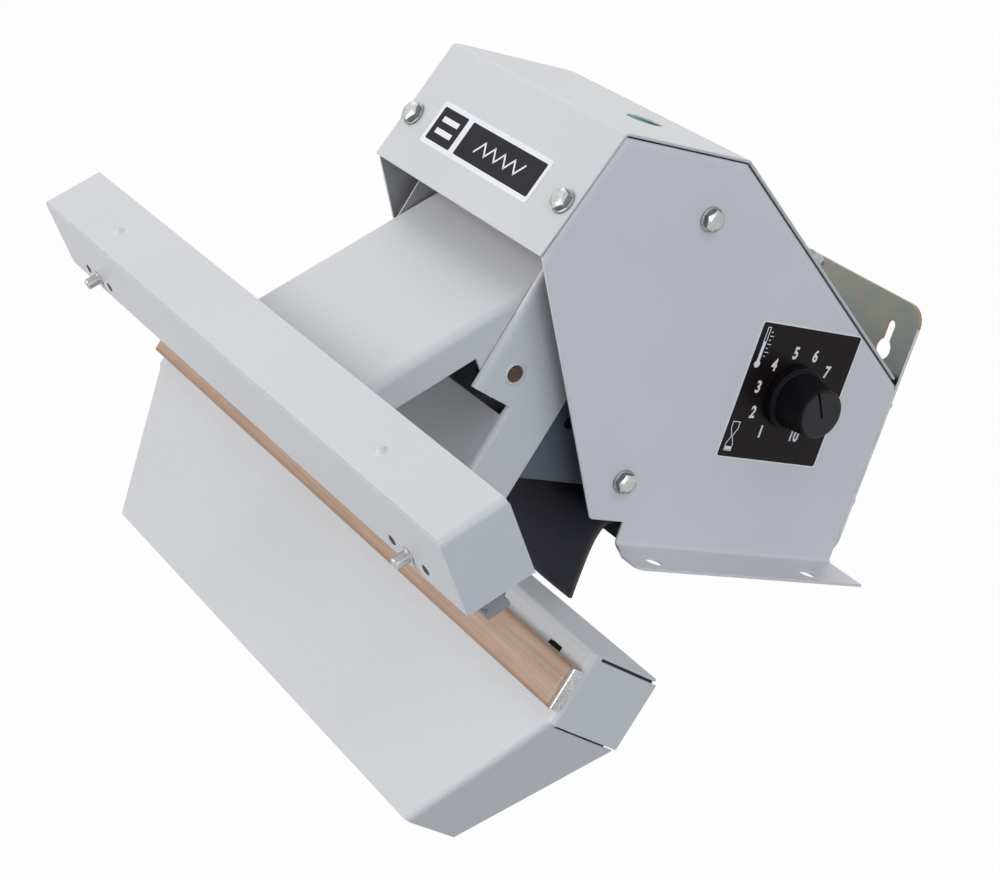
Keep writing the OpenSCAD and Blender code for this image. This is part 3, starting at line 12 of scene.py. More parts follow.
import bmesh
import bpy
from mathutils import Matrix, Vector, noise

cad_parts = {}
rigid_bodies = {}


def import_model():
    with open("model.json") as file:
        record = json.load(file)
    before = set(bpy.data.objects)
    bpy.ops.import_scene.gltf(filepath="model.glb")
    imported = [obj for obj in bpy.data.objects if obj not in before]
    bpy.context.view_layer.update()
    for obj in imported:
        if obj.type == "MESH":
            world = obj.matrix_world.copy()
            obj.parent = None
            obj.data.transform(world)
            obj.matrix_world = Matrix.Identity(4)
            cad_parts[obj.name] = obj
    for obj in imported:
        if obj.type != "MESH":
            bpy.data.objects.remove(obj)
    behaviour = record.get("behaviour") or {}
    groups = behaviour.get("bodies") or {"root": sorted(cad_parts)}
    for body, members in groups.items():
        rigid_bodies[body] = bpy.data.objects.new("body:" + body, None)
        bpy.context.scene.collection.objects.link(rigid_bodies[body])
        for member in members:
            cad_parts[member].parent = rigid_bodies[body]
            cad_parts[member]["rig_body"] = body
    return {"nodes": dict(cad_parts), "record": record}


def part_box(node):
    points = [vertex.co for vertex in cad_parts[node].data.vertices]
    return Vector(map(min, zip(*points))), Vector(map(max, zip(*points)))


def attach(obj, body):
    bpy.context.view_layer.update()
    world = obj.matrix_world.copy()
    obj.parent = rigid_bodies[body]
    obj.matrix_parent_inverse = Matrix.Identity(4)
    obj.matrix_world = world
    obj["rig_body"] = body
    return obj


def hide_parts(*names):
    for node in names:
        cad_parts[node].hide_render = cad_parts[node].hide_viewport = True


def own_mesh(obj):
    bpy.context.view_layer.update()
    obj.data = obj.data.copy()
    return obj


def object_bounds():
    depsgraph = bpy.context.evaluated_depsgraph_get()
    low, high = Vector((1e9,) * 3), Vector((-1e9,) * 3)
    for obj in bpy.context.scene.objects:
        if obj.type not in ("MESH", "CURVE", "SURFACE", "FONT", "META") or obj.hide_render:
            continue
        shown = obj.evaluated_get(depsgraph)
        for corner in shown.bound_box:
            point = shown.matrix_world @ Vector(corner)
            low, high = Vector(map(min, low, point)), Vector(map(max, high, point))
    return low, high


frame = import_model()
cad_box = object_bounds()
nodes = frame["nodes"]
scene = bpy.context.scene
scene.view_settings.view_transform = "Standard"
MM = 0.001
print("CAD nodes:", len(nodes), "box:", [tuple(round(x, 4) for x in corner) for corner in cad_box])

# %% [markdown]
# ## Camera
# The photograph looks at the machine from its right and a little above, with the camera rolled.
# A camera can be aimed with a tracking constraint, but that can't give a roll.
# So its place and two of its axes are written down, and the third is their cross product.

# %% Camera
FRAME_WIDTH_PIXELS = 1000
FOCAL_PIXELS = 2243.68
SENSOR_MM = 36.0
camera_place = Vector((0.894138, -0.796741, 0.340214))
camera_right = Vector((0.517809, 0.799062, 0.305571))
camera_up = Vector((-0.397274, -0.091740, 0.913103))
camera = bpy.data.objects.new("photo_camera", bpy.data.cameras.new("photo_camera"))
camera.data.sensor_width = SENSOR_MM
camera.data.sensor_fit = "HORIZONTAL"
camera.data.lens = FOCAL_PIXELS * SENSOR_MM / FRAME_WIDTH_PIXELS
camera_axes = Matrix((camera_right, camera_up, camera_right.cross(camera_up))).transposed()
camera.matrix_world = Matrix.Translation(camera_place) @ camera_axes.to_4x4()
scene.collection.objects.link(camera)
scene.camera = camera
print("camera lens:", round(camera.data.lens, 2), "mm")

# %% [markdown]
# ## Node helpers
# Materials are graphs of nodes. In code, a node is made, its sockets are set, and it is linked to others.
# One helper does all three: a value that is another node's output is linked, and a number is set.
# Noise seldom leaves the range from 0.3 to 0.7, so that range is what gets stretched over a value.

# %% Node helpers
NOISE_LOW = 0.3
NOISE_HIGH = 0.7


def add(graph, kind, sockets=None, **settings):
    node = graph.nodes.new("ShaderNode" + kind)
    for name, value in settings.items():
        setattr(node, name, value)
    for name, value in (sockets or {}).items():
        if isinstance(value, bpy.types.NodeSocket):
            graph.links.new(value, node.inputs[name])
        else:
            node.inputs[name].default_value = value
    return node


def object_place(graph, stretch=(1, 1, 1)):
    where = add(graph, "TexCoord").outputs["Object"]
    return add(graph, "Mapping", {"Vector": where, "Scale": stretch}).outputs["Vector"]


def grain(graph, where, scale, detail=2.0, roughness=0.5):
    sockets = {"Vector": where, "Scale": scale, "Detail": detail, "Roughness": roughness}
    return add(graph, "TexNoise", sockets).outputs["Fac"]


def ramp(graph, share, *stops):
    node = add(graph, "ValToRGB", {"Fac": share})
    elements = node.color_ramp.elements
    while len(elements) < len(stops):
        elements.new(0.5)
    for element, (place, colour) in zip(elements, stops):
        element.position = place
        element.color = (*colour, 1)
    return node.outputs["Color"]


def between(graph, share, low, high):
    sockets = {
        "Value": share, "To Min": low, "To Max": high, "From Min": NOISE_LOW, "From Max": NOISE_HIGH,
    }
    return add(graph, "MapRange", sockets).outputs["Result"]


def mixed(graph, share, first, second, way="MIX"):
    node = add(graph, "Mix", {0: share, 6: first, 7: second}, data_type="RGBA", blend_type=way)
    return node.outputs[2]


def sums(graph, first, second, way="ADD"):
    return add(graph, "Math", {0: first, 1: second}, operation=way).outputs[0]


def shade(colour, factor):
    return tuple(min(1.0, channel * factor) for channel in colour)


def new_finish(name, roughness, metallic=0.0, specular=0.5):
    finish = bpy.data.materials.new(name)
    finish.use_nodes = True
    shader = finish.node_tree.nodes["Principled BSDF"]
    shader.inputs["Roughness"].default_value = roughness
    shader.inputs["Metallic"].default_value = metallic
    shader.inputs["Specular IOR Level"].default_value = specular
    return finish, finish.node_tree, shader


print("node helpers ready")

# %% [markdown]
# ## Light and background
# The world gives an even light, and soft lamps all round the machine shape its faces:
# a strong one in front, weak ones above, and two cool ones on the right, like a window on that side.
# The camera's own rays and mirror rays see plain white instead of the world, through the Light Path node.

# %% Light and background
AMBIENT = (0.31, 0.32, 0.335)
WHITE = (1.0, 1.0, 1.0)
COOL = (0.83, 0.893, 1.0)
LAMP_SIZE = 1.6
LAMPS = (
    ("front_light", (-0.6, -2.4, 0.5), 32.0, WHITE), ("low_light", (-1.0, -2.2, -0.3), 4.0, WHITE),
    ("left_top_light", (-1.6, -0.2, 1.7), 6.5, WHITE), ("left_back_light", (-1.5, 1.0, 1.5), 8.0, WHITE),
    ("right_top_light", (1.6, -0.5, 1.7), 12.0, COOL), ("right_light", (3.2, -1.0, 0.5), 24.5, COOL),
)
aim = (cad_box[0] + cad_box[1]) / 2


def seen_directly(graph):
    path = add(graph, "LightPath")
    seen = sums(graph, path.outputs["Is Camera Ray"], path.outputs["Is Glossy Ray"], "MAXIMUM")
    return sums(graph, seen, path.outputs["Is Transmission Ray"], "MAXIMUM")


def soft_light(name, place, power, colour):
    data = bpy.data.lights.new(name, "AREA")
    data.shape = "SQUARE"
    data.size = LAMP_SIZE
    data.energy = power
    data.color = colour
    lamp = bpy.data.objects.new(name, data)
    lamp.location = place
    lamp.rotation_euler = (aim - Vector(place)).to_track_quat("-Z", "Y").to_euler()
    scene.collection.objects.link(lamp)


world = bpy.data.worlds.new("studio")
scene.world = world
world.use_nodes = True
sky = world.node_tree
ambient = sky.nodes["Background"]
ambient.inputs["Color"].default_value = (*AMBIENT, 1)
plain_white = add(sky, "Background", {"Color": (*WHITE, 1), "Strength": 1.0})
sockets = {0: seen_directly(sky), 1: ambient.outputs[0], 2: plain_white.outputs[0]}
background = add(sky, "MixShader", sockets)
sky.links.new(background.outputs[0], sky.nodes["World Output"].inputs["Surface"])

for lamp_values in LAMPS:
    soft_light(*lamp_values)
print("lamps:", [lamp_values[0] for lamp_values in LAMPS])

# %% [markdown]
# ## Floor
# The machine is bolted to a bench's edge with its jaws hanging in front, so the floor lies well below it.
# It is mostly white to the camera, with enough plain diffuse left to hold a shadow.

# %% Floor
FLOOR_Z = -0.75
FLOOR_SIZE = 60.0
FLOOR_GLOW = 0.98
FLOOR_COLOUR = (0.41, 0.425, 0.46, 1)
floor_shape = bmesh.new()
bmesh.ops.create_grid(floor_shape, x_segments=1, y_segments=1, size=FLOOR_SIZE / 2)
bmesh.ops.translate(floor_shape, verts=floor_shape.verts, vec=(0, 0, FLOOR_Z))
floor_mesh = bpy.data.meshes.new("floor")
floor_shape.to_mesh(floor_mesh)
floor_shape.free()
floor = bpy.data.objects.new("floor", floor_mesh)
scene.collection.objects.link(floor)
floor_finish, paint, floor_shader = new_finish("pale_floor", 0.9)
floor_shader.inputs["Base Color"].default_value = FLOOR_COLOUR
glow = add(paint, "Emission", {"Color": (*WHITE, 1), "Strength": 1.0})
glow_share = sums(paint, seen_directly(paint), FLOOR_GLOW, "MULTIPLY")
sockets = {0: glow_share, 1: floor_shader.outputs[0], 2: glow.outputs[0]}
floor_mix = add(paint, "MixShader", sockets)
paint.links.new(floor_mix.outputs[0], paint.nodes["Material Output"].inputs["Surface"])
floor_mesh.materials.append(floor_finish)
print("floor at", FLOOR_Z, "m")

# %% [markdown]
# ## Powder coat
# The sheets are powder coated: a satin paint baked on as powder, which flows into a faint orange-peel skin.
# A flat colour would look like plastic, so three sizes of noise share the work.
# Broad clouds shift tone and gloss a little, specks give the grain, and millimetre waves make the skin.
# The inner faces of the panels and ears get a darker grey, which is painted shade for the inside of the
# housing.

# %% Powder coat
def colour_from(graph, shader, socket):
    graph.links.new(socket, shader.inputs["Base Color"])


def roughness_from(graph, shader, share, low, high):
    graph.links.new(between(graph, share, low, high), shader.inputs["Roughness"])


def bump_from(graph, shader, height, depth):
    node = add(graph, "Bump", {"Height": height, "Distance": depth, "Strength": 1.0})
    graph.links.new(node.outputs["Normal"], shader.inputs["Normal"])


def powder_coat(name, colour, gloss=0.42):
    finish, graph, shader = new_finish(name, gloss)
    where = object_place(graph)
    cloud = grain(graph, where, 9.0, 4.0)
    speck = grain(graph, where, 2600.0, 1.0)
    broad = ramp(graph, cloud, (0.3, shade(colour, 0.965)), (0.7, shade(colour, 1.02)))
    fine = ramp(graph, speck, (0.35, (0.93, 0.93, 0.93)), (0.6, WHITE))
    colour_from(graph, shader, mixed(graph, 1.0, broad, fine, "MULTIPLY"))
    roughness_from(graph, shader, cloud, gloss - 0.05, gloss + 0.05)
    bump_from(graph, shader, grain(graph, where, 650.0, 2.0), 0.000022)
    return finish


cover_paint = powder_coat("cover_powder_coat", (0.645, 0.644, 0.648))
# The panels' grey is lighter than the cover's: painted light for the dimmer light on the machine's sides.
panel_paint_with_painted_light = powder_coat("panel_powder_coat_painted_light", (0.735, 0.726, 0.737))
# A darker grey for the inner faces: painted shade for the inside of the housing.
inside_painted_shade = powder_coat("painted_shade_inside", (0.36, 0.36, 0.365), 0.5)
# The cradle's dark blue-grey is painted shade for its place deep inside the housing.
cradle_painted_shade = powder_coat("cradle_blue_grey_painted_shade", (0.090, 0.102, 0.123), 0.5)
# The tray's near-black grey is painted shade for its place inside, behind the flap.
tray_painted_shade = powder_coat("tray_dark_grey_painted_shade", (0.045, 0.046, 0.05), 0.5)
print("paints:", [m.name for m in (cover_paint, panel_paint_with_painted_light, inside_painted_shade, cradle_painted_shade, tray_painted_shade)])

# %% [markdown]
# ## Metals
# Plated bolts, the aluminium bar, steel and brass differ in tone, gloss and in the direction of their marks.
# One function takes these as values. Stretched texture coordinates turn round grain into drawn lines.

# %% Metals
def bare_metal(name, colour, gloss, stretch=(1, 1, 1), scale=500.0, depth=0.000008, spread=0.12, mark=0.86):
    finish, graph, shader = new_finish(name, gloss, 1.0)
    where = object_place(graph, stretch)
    cloud = grain(graph, object_place(graph), 60.0, 3.0)
    marks = grain(graph, where, scale, 3.0, 0.65)
    low, high = shade(colour, 1 - spread), shade(colour, 1 + spread / 2)
    patches = ramp(graph, cloud, (0.3, low), (0.7, high))
    lines = ramp(graph, marks, (0.3, (mark, mark, mark)), (0.65, WHITE))
    colour_from(graph, shader, mixed(graph, 1.0, patches, lines, "MULTIPLY"))
    roughness_from(graph, shader, marks, gloss - 0.06, gloss + 0.1)
    bump_from(graph, shader, marks, depth)
    return finish


ALONG_JAW = (0.05, 1, 1)
bright_zinc = bare_metal("bright_zinc", (0.52, 0.54, 0.535), 0.32, spread=0.2)
polished_steel = bare_metal(
    "polished_stud_steel", (0.50, 0.49, 0.49), 0.3, depth=0.000002, spread=0.08, mark=0.94
)
shaded_zinc = bare_metal("zinc_sides_painted_shade", (0.30, 0.315, 0.31), 0.36, spread=0.25, mark=0.7)
mill_aluminium = bare_metal("mill_aluminium", (0.80, 0.80, 0.81), 0.34, ALONG_JAW, 1500.0)
sawn_aluminium = bare_metal(
    "sawn_aluminium", (0.62, 0.61, 0.62), 0.45, (1, 0.6, 1), 1100.0, 0.00005, 0.2, 0.5
)
# Dark oiled steel for the yoke, core, lever and plunger; the same finish paints the shade in the panels'
# gap.
dark_steel_and_gap_shade = bare_metal("dark_oiled_steel_and_gap_shade", (0.17, 0.175, 0.19), 0.45)
browned_steel = bare_metal(
    "browned_axle_steel", (0.125, 0.082, 0.068), 0.5, (1, 1, 1), 900.0, 0.00002, 0.3, 0.5
)
cut_edge = bare_metal("browned_cut_edge", (0.30, 0.22, 0.15), 0.45, (1, 1, 1), 700.0, 0.00002, 0.3)
plain_brass = bare_metal("plain_brass", (0.72, 0.53, 0.26), 0.3)
ribbon_alloy = bare_metal("resistance_ribbon", (0.52, 0.50, 0.48), 0.32, ALONG_JAW, 1500.0)
print("metals:", bright_zinc.name, mill_aluminium.name, dark_steel_and_gap_shade.name, plain_brass.name)

# %% [markdown]
# ## Yellow zinc on the wall plate
# The rear plate is zinc with a yellow passivation, whose film is so thin that it shows interference colours.
# They drift slowly over the plate, so a broad, warped noise runs through a ramp of olive, straw
# and blue-grey, and the plate is blued where it goes down behind the housing.

# %% Yellow zinc
def passivated_zinc(name):
    finish, graph, shader = new_finish(name, 0.32, 1.0)
    where = object_place(graph)
    sockets = {"Vector": where, "Scale": 19.0, "Detail": 4.0, "Distortion": 1.6}
    drift = add(graph, "TexNoise", sockets).outputs["Fac"]
    film = ramp(
        graph, drift, (0.25, (0.36, 0.42, 0.40)), (0.42, (0.46, 0.48, 0.43)),
        (0.50, (0.51, 0.49, 0.41)), (0.58, (0.44, 0.49, 0.46)), (0.75, (0.35, 0.45, 0.47)),
    )
    height = add(graph, "SeparateXYZ", {"Vector": where}).outputs["Z"]
    blued = add(graph, "MapRange", {"Value": height, "From Min": 0.138, "From Max": 0.106}).outputs["Result"]
    film = mixed(graph, sums(graph, blued, drift, "MULTIPLY"), film, (0.22, 0.37, 0.43, 1))
    speck = grain(graph, where, 900.0, 3.0)
    dull = ramp(graph, speck, (0.3, (0.93, 0.93, 0.92)), (0.6, WHITE))
    colour_from(graph, shader, mixed(graph, 1.0, film, dull, "MULTIPLY"))
    roughness_from(graph, shader, drift, 0.28, 0.42)
    bump_from(graph, shader, speck, 0.000008)
    return finish


yellow_zinc = passivated_zinc("yellow_zinc")
print("plate finish:", yellow_zinc.name)

# %% [markdown]
# ## Plastics, film and rubber
# Moulded plastic has a fine spark-eroded grain, printed film is smoother, and rubber is matt, with a bloom.
# They share one recipe: a base tone with clouds, a grain in the normal, and a gloss of their own.

# %% Plastics, film and rubber
def moulded(name, colour, gloss, scale=1800.0, depth=0.00002, spread=0.15, specular=0.5):
    finish, graph, shader = new_finish(name, gloss, 0.0, specular)
    where = object_place(graph)
    cloud = grain(graph, where, 45.0, 4.0)
    skin = grain(graph, where, scale, 2.0)
    tone = ramp(graph, cloud, (0.3, shade(colour, 1 - spread)), (0.7, shade(colour, 1 + spread)))
    colour_from(graph, shader, tone)
    roughness_from(graph, shader, cloud, gloss - 0.04, gloss + 0.05)
    bump_from(graph, shader, skin, depth)
    return finish


black_plastic = moulded("black_plastic", (0.0056, 0.0056, 0.0066), 0.38, specular=0.12)
# A lighter black for the knob's face than for its sides: painted light for the light that falls on the face.
knob_face_painted_light = moulded("knob_face_painted_light", (0.013, 0.013, 0.015), 0.34, 900.0, specular=0.25)
pale_plastic = moulded("pale_plastic", (0.74, 0.72, 0.66), 0.4)
label_film = moulded("label_film", (0.0095, 0.0052, 0.0062), 0.33, 2400.0, 0.000006, specular=0.12)
white_print = moulded("white_print", (0.90, 0.90, 0.91), 0.4, 2400.0, 0.000004, 0.03)
name_film = moulded("name_film", (0.82, 0.83, 0.86), 0.3, 2400.0, 0.000004, 0.03)
name_ink = moulded("name_ink", (0.018, 0.0155, 0.0175), 0.36, 2400.0, 0.000004, specular=0.12)
flap_rubber = moulded("flap_rubber", (0.049, 0.049, 0.066), 0.62, 700.0, 0.00003, 0.2, 0.3)
flap_edge = moulded("flap_cut_edge", (0.070, 0.043, 0.035), 0.7, 900.0, 0.00006, 0.3)
grey_rubber = moulded("grey_silicone", (0.27, 0.275, 0.285), 0.5, 1200.0, 0.00001, 0.08)
coil_tape = moulded("amber_coil_tape", (0.55, 0.30, 0.06), 0.35, 300.0, 0.00004)
print("plastics:", black_plastic.name, label_film.name, flap_rubber.name)

# %% [markdown]
# ## Green lens, circuit board and glass tape
# The rocker is clear green plastic, so some light passes into it. The board has copper tracks under lacquer:
# a wave texture bent by noise makes lanes that look routed. The tape is woven glass, two crossed waves.

# %% Green lens, circuit board and glass tape
def clear_green(name):
    finish, graph, shader = new_finish(name, 0.25, 0.0, 0.04)
    where = object_place(graph)
    depth = grain(graph, where, 120.0, 2.0)
    colour_from(graph, shader, ramp(graph, depth, (0.3, (0.0, 0.15, 0.075)), (0.7, (0.003, 0.27, 0.14))))
    shader.inputs["Subsurface Weight"].default_value = 0.25
    shader.inputs["Subsurface Radius"].default_value = (0.001, 0.004, 0.002)
    bump_from(graph, shader, grain(graph, where, 700.0), 0.00001)
    return finish


def routed_board(name):
    finish, graph, shader = new_finish(name, 0.3)
    where = object_place(graph)
    sockets = {"Vector": where, "Scale": 120.0, "Distortion": 3.0, "Detail": 1.0, "Detail Scale": 0.6}
    lanes = add(graph, "TexWave", sockets, bands_direction="Z").outputs["Fac"]
    tracks = ramp(graph, lanes, (0.42, (0.012, 0.085, 0.035)), (0.58, (0.035, 0.19, 0.075)))
    colour_from(graph, shader, tracks)
    bump_from(graph, shader, lanes, 0.00003)
    return finish


def weave(graph, where, scale, weft_way):
    sockets = {"Vector": where, "Scale": scale}
    warp = add(graph, "TexWave", sockets, bands_direction="X").outputs["Fac"]
    weft = add(graph, "TexWave", sockets, bands_direction=weft_way).outputs["Fac"]
    return sums(graph, warp, weft, "MULTIPLY")


def woven_glass(name, colour):
    finish, graph, shader = new_finish(name, 0.55)
    threads = weave(graph, object_place(graph), 500.0, "Z")
    colour_from(graph, shader, ramp(graph, threads, (0.1, shade(colour, 0.8)), (0.6, colour)))
    bump_from(graph, shader, threads, 0.00005)
    return finish


green_lens = clear_green("clear_green_plastic")
green_board = routed_board("green_circuit_board")
glass_weave = woven_glass("glass_tape_weave", (0.78, 0.75, 0.67))
print("special finishes:", green_lens.name, green_board.name, glass_weave.name)

# %% [markdown]
# ## Every CAD node gets a finish
# Inner pieces keep their CAD solids, and only need a finish. Pieces that are remade below start from it too.
# A table from node to finish is easier to check than fifty assignments.

# %% Finishes of the CAD nodes
FINISHES = {
    cover_paint: (
        "top_cover", "lower_arm", "lower_jaw", "axle_collars", "upper_arm", "upper_jaw", "jaw_rivets",
    ),
    panel_paint_with_painted_light: ("right_panel", "left_panel"),
    yellow_zinc: ("wall_plate",),
    tray_painted_shade: ("floor_tray",),
    cradle_painted_shade: ("cradle",),
    flap_rubber: ("front_flap", "ptfe_cover"),
    mill_aluminium: ("seal_bar", "rubber_holder"),
    glass_weave: ("glass_tape",),
    ribbon_alloy: ("heating_ribbon",),
    plain_brass: ("terminal_screws", "terminal_nuts", "arm_bushes"),
    browned_steel: ("pivot_axle",),
    bright_zinc: (
        "flap_clamp", "clamp_screws", "spacer_tubes", "side_bolts", "side_nuts", "cover_bolts", "wall_bolts",
        "solenoid_screws", "return_spring", "board_standoffs", "potentiometer", "pot_nut", "lever_pin",
        "knob_shaft",
    ),
    polished_steel: ("jaw_studs",),
    dark_steel_and_gap_shade: ("solenoid_yoke", "transformer_core", "drive_lever", "plunger"),
    coil_tape: ("solenoid_coil", "transformer_coil"),
    green_board: ("control_board",),
    label_film: ("dial_label",),
    name_film: ("name_plate",),
    black_plastic: ("switch_body", "limit_switch", "cable_gland", "gland_nut", "pedal_socket", "knob"),
    pale_plastic: ("terminal_block",),
    grey_rubber: ("silicone_rubber",),
    green_lens: ("switch_rocker",),
}
finish_of = {node: finish for finish, group in FINISHES.items() for node in group}
slot_of = {row["node"]: row["material_slot"] for row in frame["record"]["subparts"]}
for node, finish in finish_of.items():
    nodes[node].data.materials.clear()
    nodes[node].data.materials.append(finish)
print("nodes with a finish:", len(finish_of), "missing:", sorted(set(nodes) - set(finish_of)))

# %% [markdown]
# ## Rounded sheet edges
# A painted sheet never has a razor edge: the coat flows round it, and that thin round catches the light.
# The CAD mesh is loose triangles, so a copy of it is merged and its flat faces are joined first.
# Then only the edges sharper than a bend's facets are bevelled.

# %% Rounded sheet edges
WELD = 0.00001
FLAT_ANGLE = math.radians(1)
SHARP_ANGLE = math.radians(40)
EDGE_STEPS = 3


def merge(shape):
    bmesh.ops.remove_doubles(shape, verts=shape.verts, dist=WELD)
    bmesh.ops.dissolve_degenerate(shape, dist=WELD, edges=shape.edges)


def copy_of(node):
    shape = bmesh.new()
    shape.from_mesh(nodes[node].data)
    merge(shape)
    bmesh.ops.dissolve_limit(
        shape, angle_limit=FLAT_ANGLE, verts=shape.verts, edges=shape.edges, use_dissolve_boundaries=False
    )
    bmesh.ops.dissolve_degenerate(shape, dist=WELD, edges=shape.edges)
    return shape


def round_off(shape, corners, radius, steps, affect="EDGES"):
    bmesh.ops.bevel(
        shape, geom=corners, offset=radius, offset_type="OFFSET", affect=affect, segments=steps,
        profile=0.5, material=-1, clamp_overlap=False,
    )


def soften(shape, radius, chosen=None, shortest=0.0):
    sharp = [
        edge for edge in shape.edges
        if len(edge.link_faces) == 2 and edge.calc_face_angle() > SHARP_ANGLE
        and edge.calc_length() > shortest and (chosen is None or chosen(edge))
    ]
    round_off(shape, sharp, radius, EDGE_STEPS)


print("edges sharper than", round(math.degrees(SHARP_ANGLE)), "degrees are rounded")

# %% [markdown]
# ## Finished pieces
# A bmesh is only working memory: it is written to a mesh, and an object holds the mesh in the scene.
# Every piece rides on a body of the frame, and a piece that is remade takes the place of its CAD node.
# A weighted normal then keeps the flats flat.

# %% Finished pieces
def place_piece(name, shape, body, *finishes, stands_for=(), slot=None):
    for face in shape.faces:
        face.smooth = True
    for edge in shape.edges:
        edge.smooth = edge.calc_face_angle(0.0) < SHARP_ANGLE
    mesh = bpy.data.meshes.new(name)
    shape.to_mesh(mesh)
    shape.free()
    for finish in finishes:
        mesh.materials.append(finish)
    piece = bpy.data.objects.new(name, mesh)
    scene.collection.objects.link(piece)
    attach(piece, body)
    if stands_for:
        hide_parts(*stands_for)
    return piece


def remade(node, name, shape, *more_finishes):
    piece = place_piece(
        name, shape, nodes[node]["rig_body"], finish_of[node], *more_finishes,
        stands_for=(node,), slot=slot_of[node],
    )
    weighted = piece.modifiers.new("flat_faces", "WEIGHTED_NORMAL")
    weighted.keep_sharp = True
    print(name, "faces:", len(piece.data.polygons))
    return piece


print("slots in the record:", len(set(slot_of.values())))

# %% [markdown]
# ## Pieces with rounded edges
# Many outside pieces need no more than rounded edges. Some sheets have tiny edges at their bends,
# which a bevel would fold over. So each row says how broad the round is and how short an edge may be, in mm.

# %% Pieces with rounded edges
SHEETS = (
    ("top_cover", "cover_sheet", 0.6, 0.0), ("cradle", "cradle_sheet", 0.3, 0.0),
    ("floor_tray", "floor_tray_sheet", 0.3, 0.0), ("lower_jaw", "lower_jaw_sheet", 0.4, 2.5),
    ("upper_arm", "upper_arm_channel", 0.6, 0.0), ("upper_jaw", "upper_jaw_box", 0.4, 5.0),
    ("silicone_rubber", "rubber_strip", 0.35, 0.0), ("jaw_studs", "jaw_stud_pair", 0.2, 0.0),
    ("pivot_axle", "pivot_pin", 0.4, 0.0), ("cable_gland", "inlet_gland", 0.4, 0.0),
    ("pedal_socket", "pedal_jack", 0.4, 0.0), ("switch_rocker", "rocker_button", 0.5, 0.0),
    ("flap_clamp", "flap_clamp_strip", 0.3, 0.0),
)
for node, name, radius, shortest in SHEETS:
    sheet = copy_of(node)
    soften(sheet, radius * MM, shortest=shortest * MM)
    remade(node, name, sheet)

# %% [markdown]
# ## Rolled edges
# Some plates are rolled over broadly along an edge. A bevel as broad as that won't fit into the thickness.
# So the outer face is cut into strips along the edge, and the corners of the strips are let down,
# by more the nearer they are to the edge.

# %% Rolled edges
ON_FACE = 0.00002


def nearness(distance, width):
    return 1 - min(1.0, max(0.0, distance / width))


def cut_across(shape, faces, place, way):
    around = dict.fromkeys(edge for face in faces for edge in face.edges)
    corners = dict.fromkeys(vert for face in faces for vert in face.verts)
    bmesh.ops.bisect_plane(
        shape, geom=[*faces, *around, *corners], dist=WELD, plane_co=place, plane_no=way
    )


def cut_face(shape, face_x, place, way):
    flat = [
        face for face in shape.faces
        if all(abs(abs(vert.co.x) - face_x) < ON_FACE for vert in face.verts)
    ]
    cut_across(shape, flat, place, way)


def let_down(shape, face_x, drop_of):
    for vert in shape.verts:
        if abs(abs(vert.co.x) - face_x) < ON_FACE:
            vert.co.x -= math.copysign(drop_of(vert.co), vert.co.x)


print("rolled edges ready")

# %% [markdown]
# ## Lower arm
# The arm is a channel of thick plate with two tall ears. The ears' front edges are rolled over broadly,
# so that nothing catches on them, and they shine as a soft lip.
# There the corners of the strips are let down along a quarter of an ellipse.
# The ears' lower corners are square on the machine, so the CAD's rounding there is drawn back to a point,
# a little lower, where it also covers the upper arm's end.
# The jaws are tilted, so distances along them are measured in a frame of their own.

# %% Lower arm
JAW_TILT = math.radians(16.6)
jaw_place = Matrix.Translation(Vector((0, -184.8, -28.4)) * MM) @ Matrix.Rotation(-JAW_TILT, 4, "X")
in_jaw = jaw_place.inverted()
backwards = jaw_place.to_3x3() @ Vector((0, 1, 0))
ARM_OUT_X = 64.8 * MM
EAR_FRONT = -15.0 * MM
EAR_LOW = 97.0 * MM
EAR_EDGE = 98.2 * MM
EAR_DROP = 0.6 * MM
EAR_CORNER = 2.6 * MM
SLOT_END = 13.0 * MM
LIP_WIDTH = 6.0 * MM
LIP_DEPTH = 2.4 * MM
LIP_ROOM = 1.5
LIP_BACK = 3.0 * MM
FACES_INWARD = -0.9
ROLL_SHARES = (0.08, 0.22, 0.42, 0.67, 1.0)


def ear_drop(point):
    local = in_jaw @ point
    share = nearness(local.y - EAR_FRONT, LIP_WIDTH) if local.z > EAR_LOW else 0.0
    return LIP_DEPTH * (1 - math.sqrt(1 - share * share))


def off_lip(point):
    local = in_jaw @ point
    in_lip = local.z > EAR_LOW - LIP_ROOM * LIP_WIDTH and local.y < LIP_BACK
    return not in_lip or abs(point.x) < ARM_OUT_X - LIP_ROOM * LIP_DEPTH


# Faces turned inwards get the second slot, the darker grey that paints the shade inside the housing.
def shade_inside_faces(shape):
    for face in shape.faces:
        if face.normal.x * math.copysign(1, face.calc_center_median().x) < FACES_INWARD:
            face.material_index = 1


arm = copy_of("lower_arm")
for vert in arm.verts:
    local = in_jaw @ vert.co
    if abs(local.z - EAR_EDGE) < ON_FACE and local.y < SLOT_END:
        local.z -= EAR_DROP
    in_corner = local.y < EAR_FRONT + EAR_CORNER and EAR_LOW < local.z < EAR_EDGE + EAR_CORNER
    if in_corner:
        local.y, local.z = EAR_FRONT, EAR_EDGE - EAR_DROP
    vert.co = jaw_place @ local
merge(arm)
for share in ROLL_SHARES:
    cut_face(arm, ARM_OUT_X, jaw_place @ Vector((0, EAR_FRONT + share * LIP_WIDTH, 0)), backwards)
let_down(arm, ARM_OUT_X, ear_drop)
soften(arm, 0.4 * MM, lambda edge: all(off_lip(vert.co) for vert in edge.verts), shortest=1.0 * MM)
shade_inside_faces(arm)
remade("lower_arm", "lower_arm_channel", arm, inside_painted_shade)

# %% [markdown]
# ## Wall plate
# The wall plate is sheared from sheet that is zinc plated first, so its cut edges are bare and browned.
# The edge's faces above the housing get a second finish, and the ones along the housing's back stay plated.

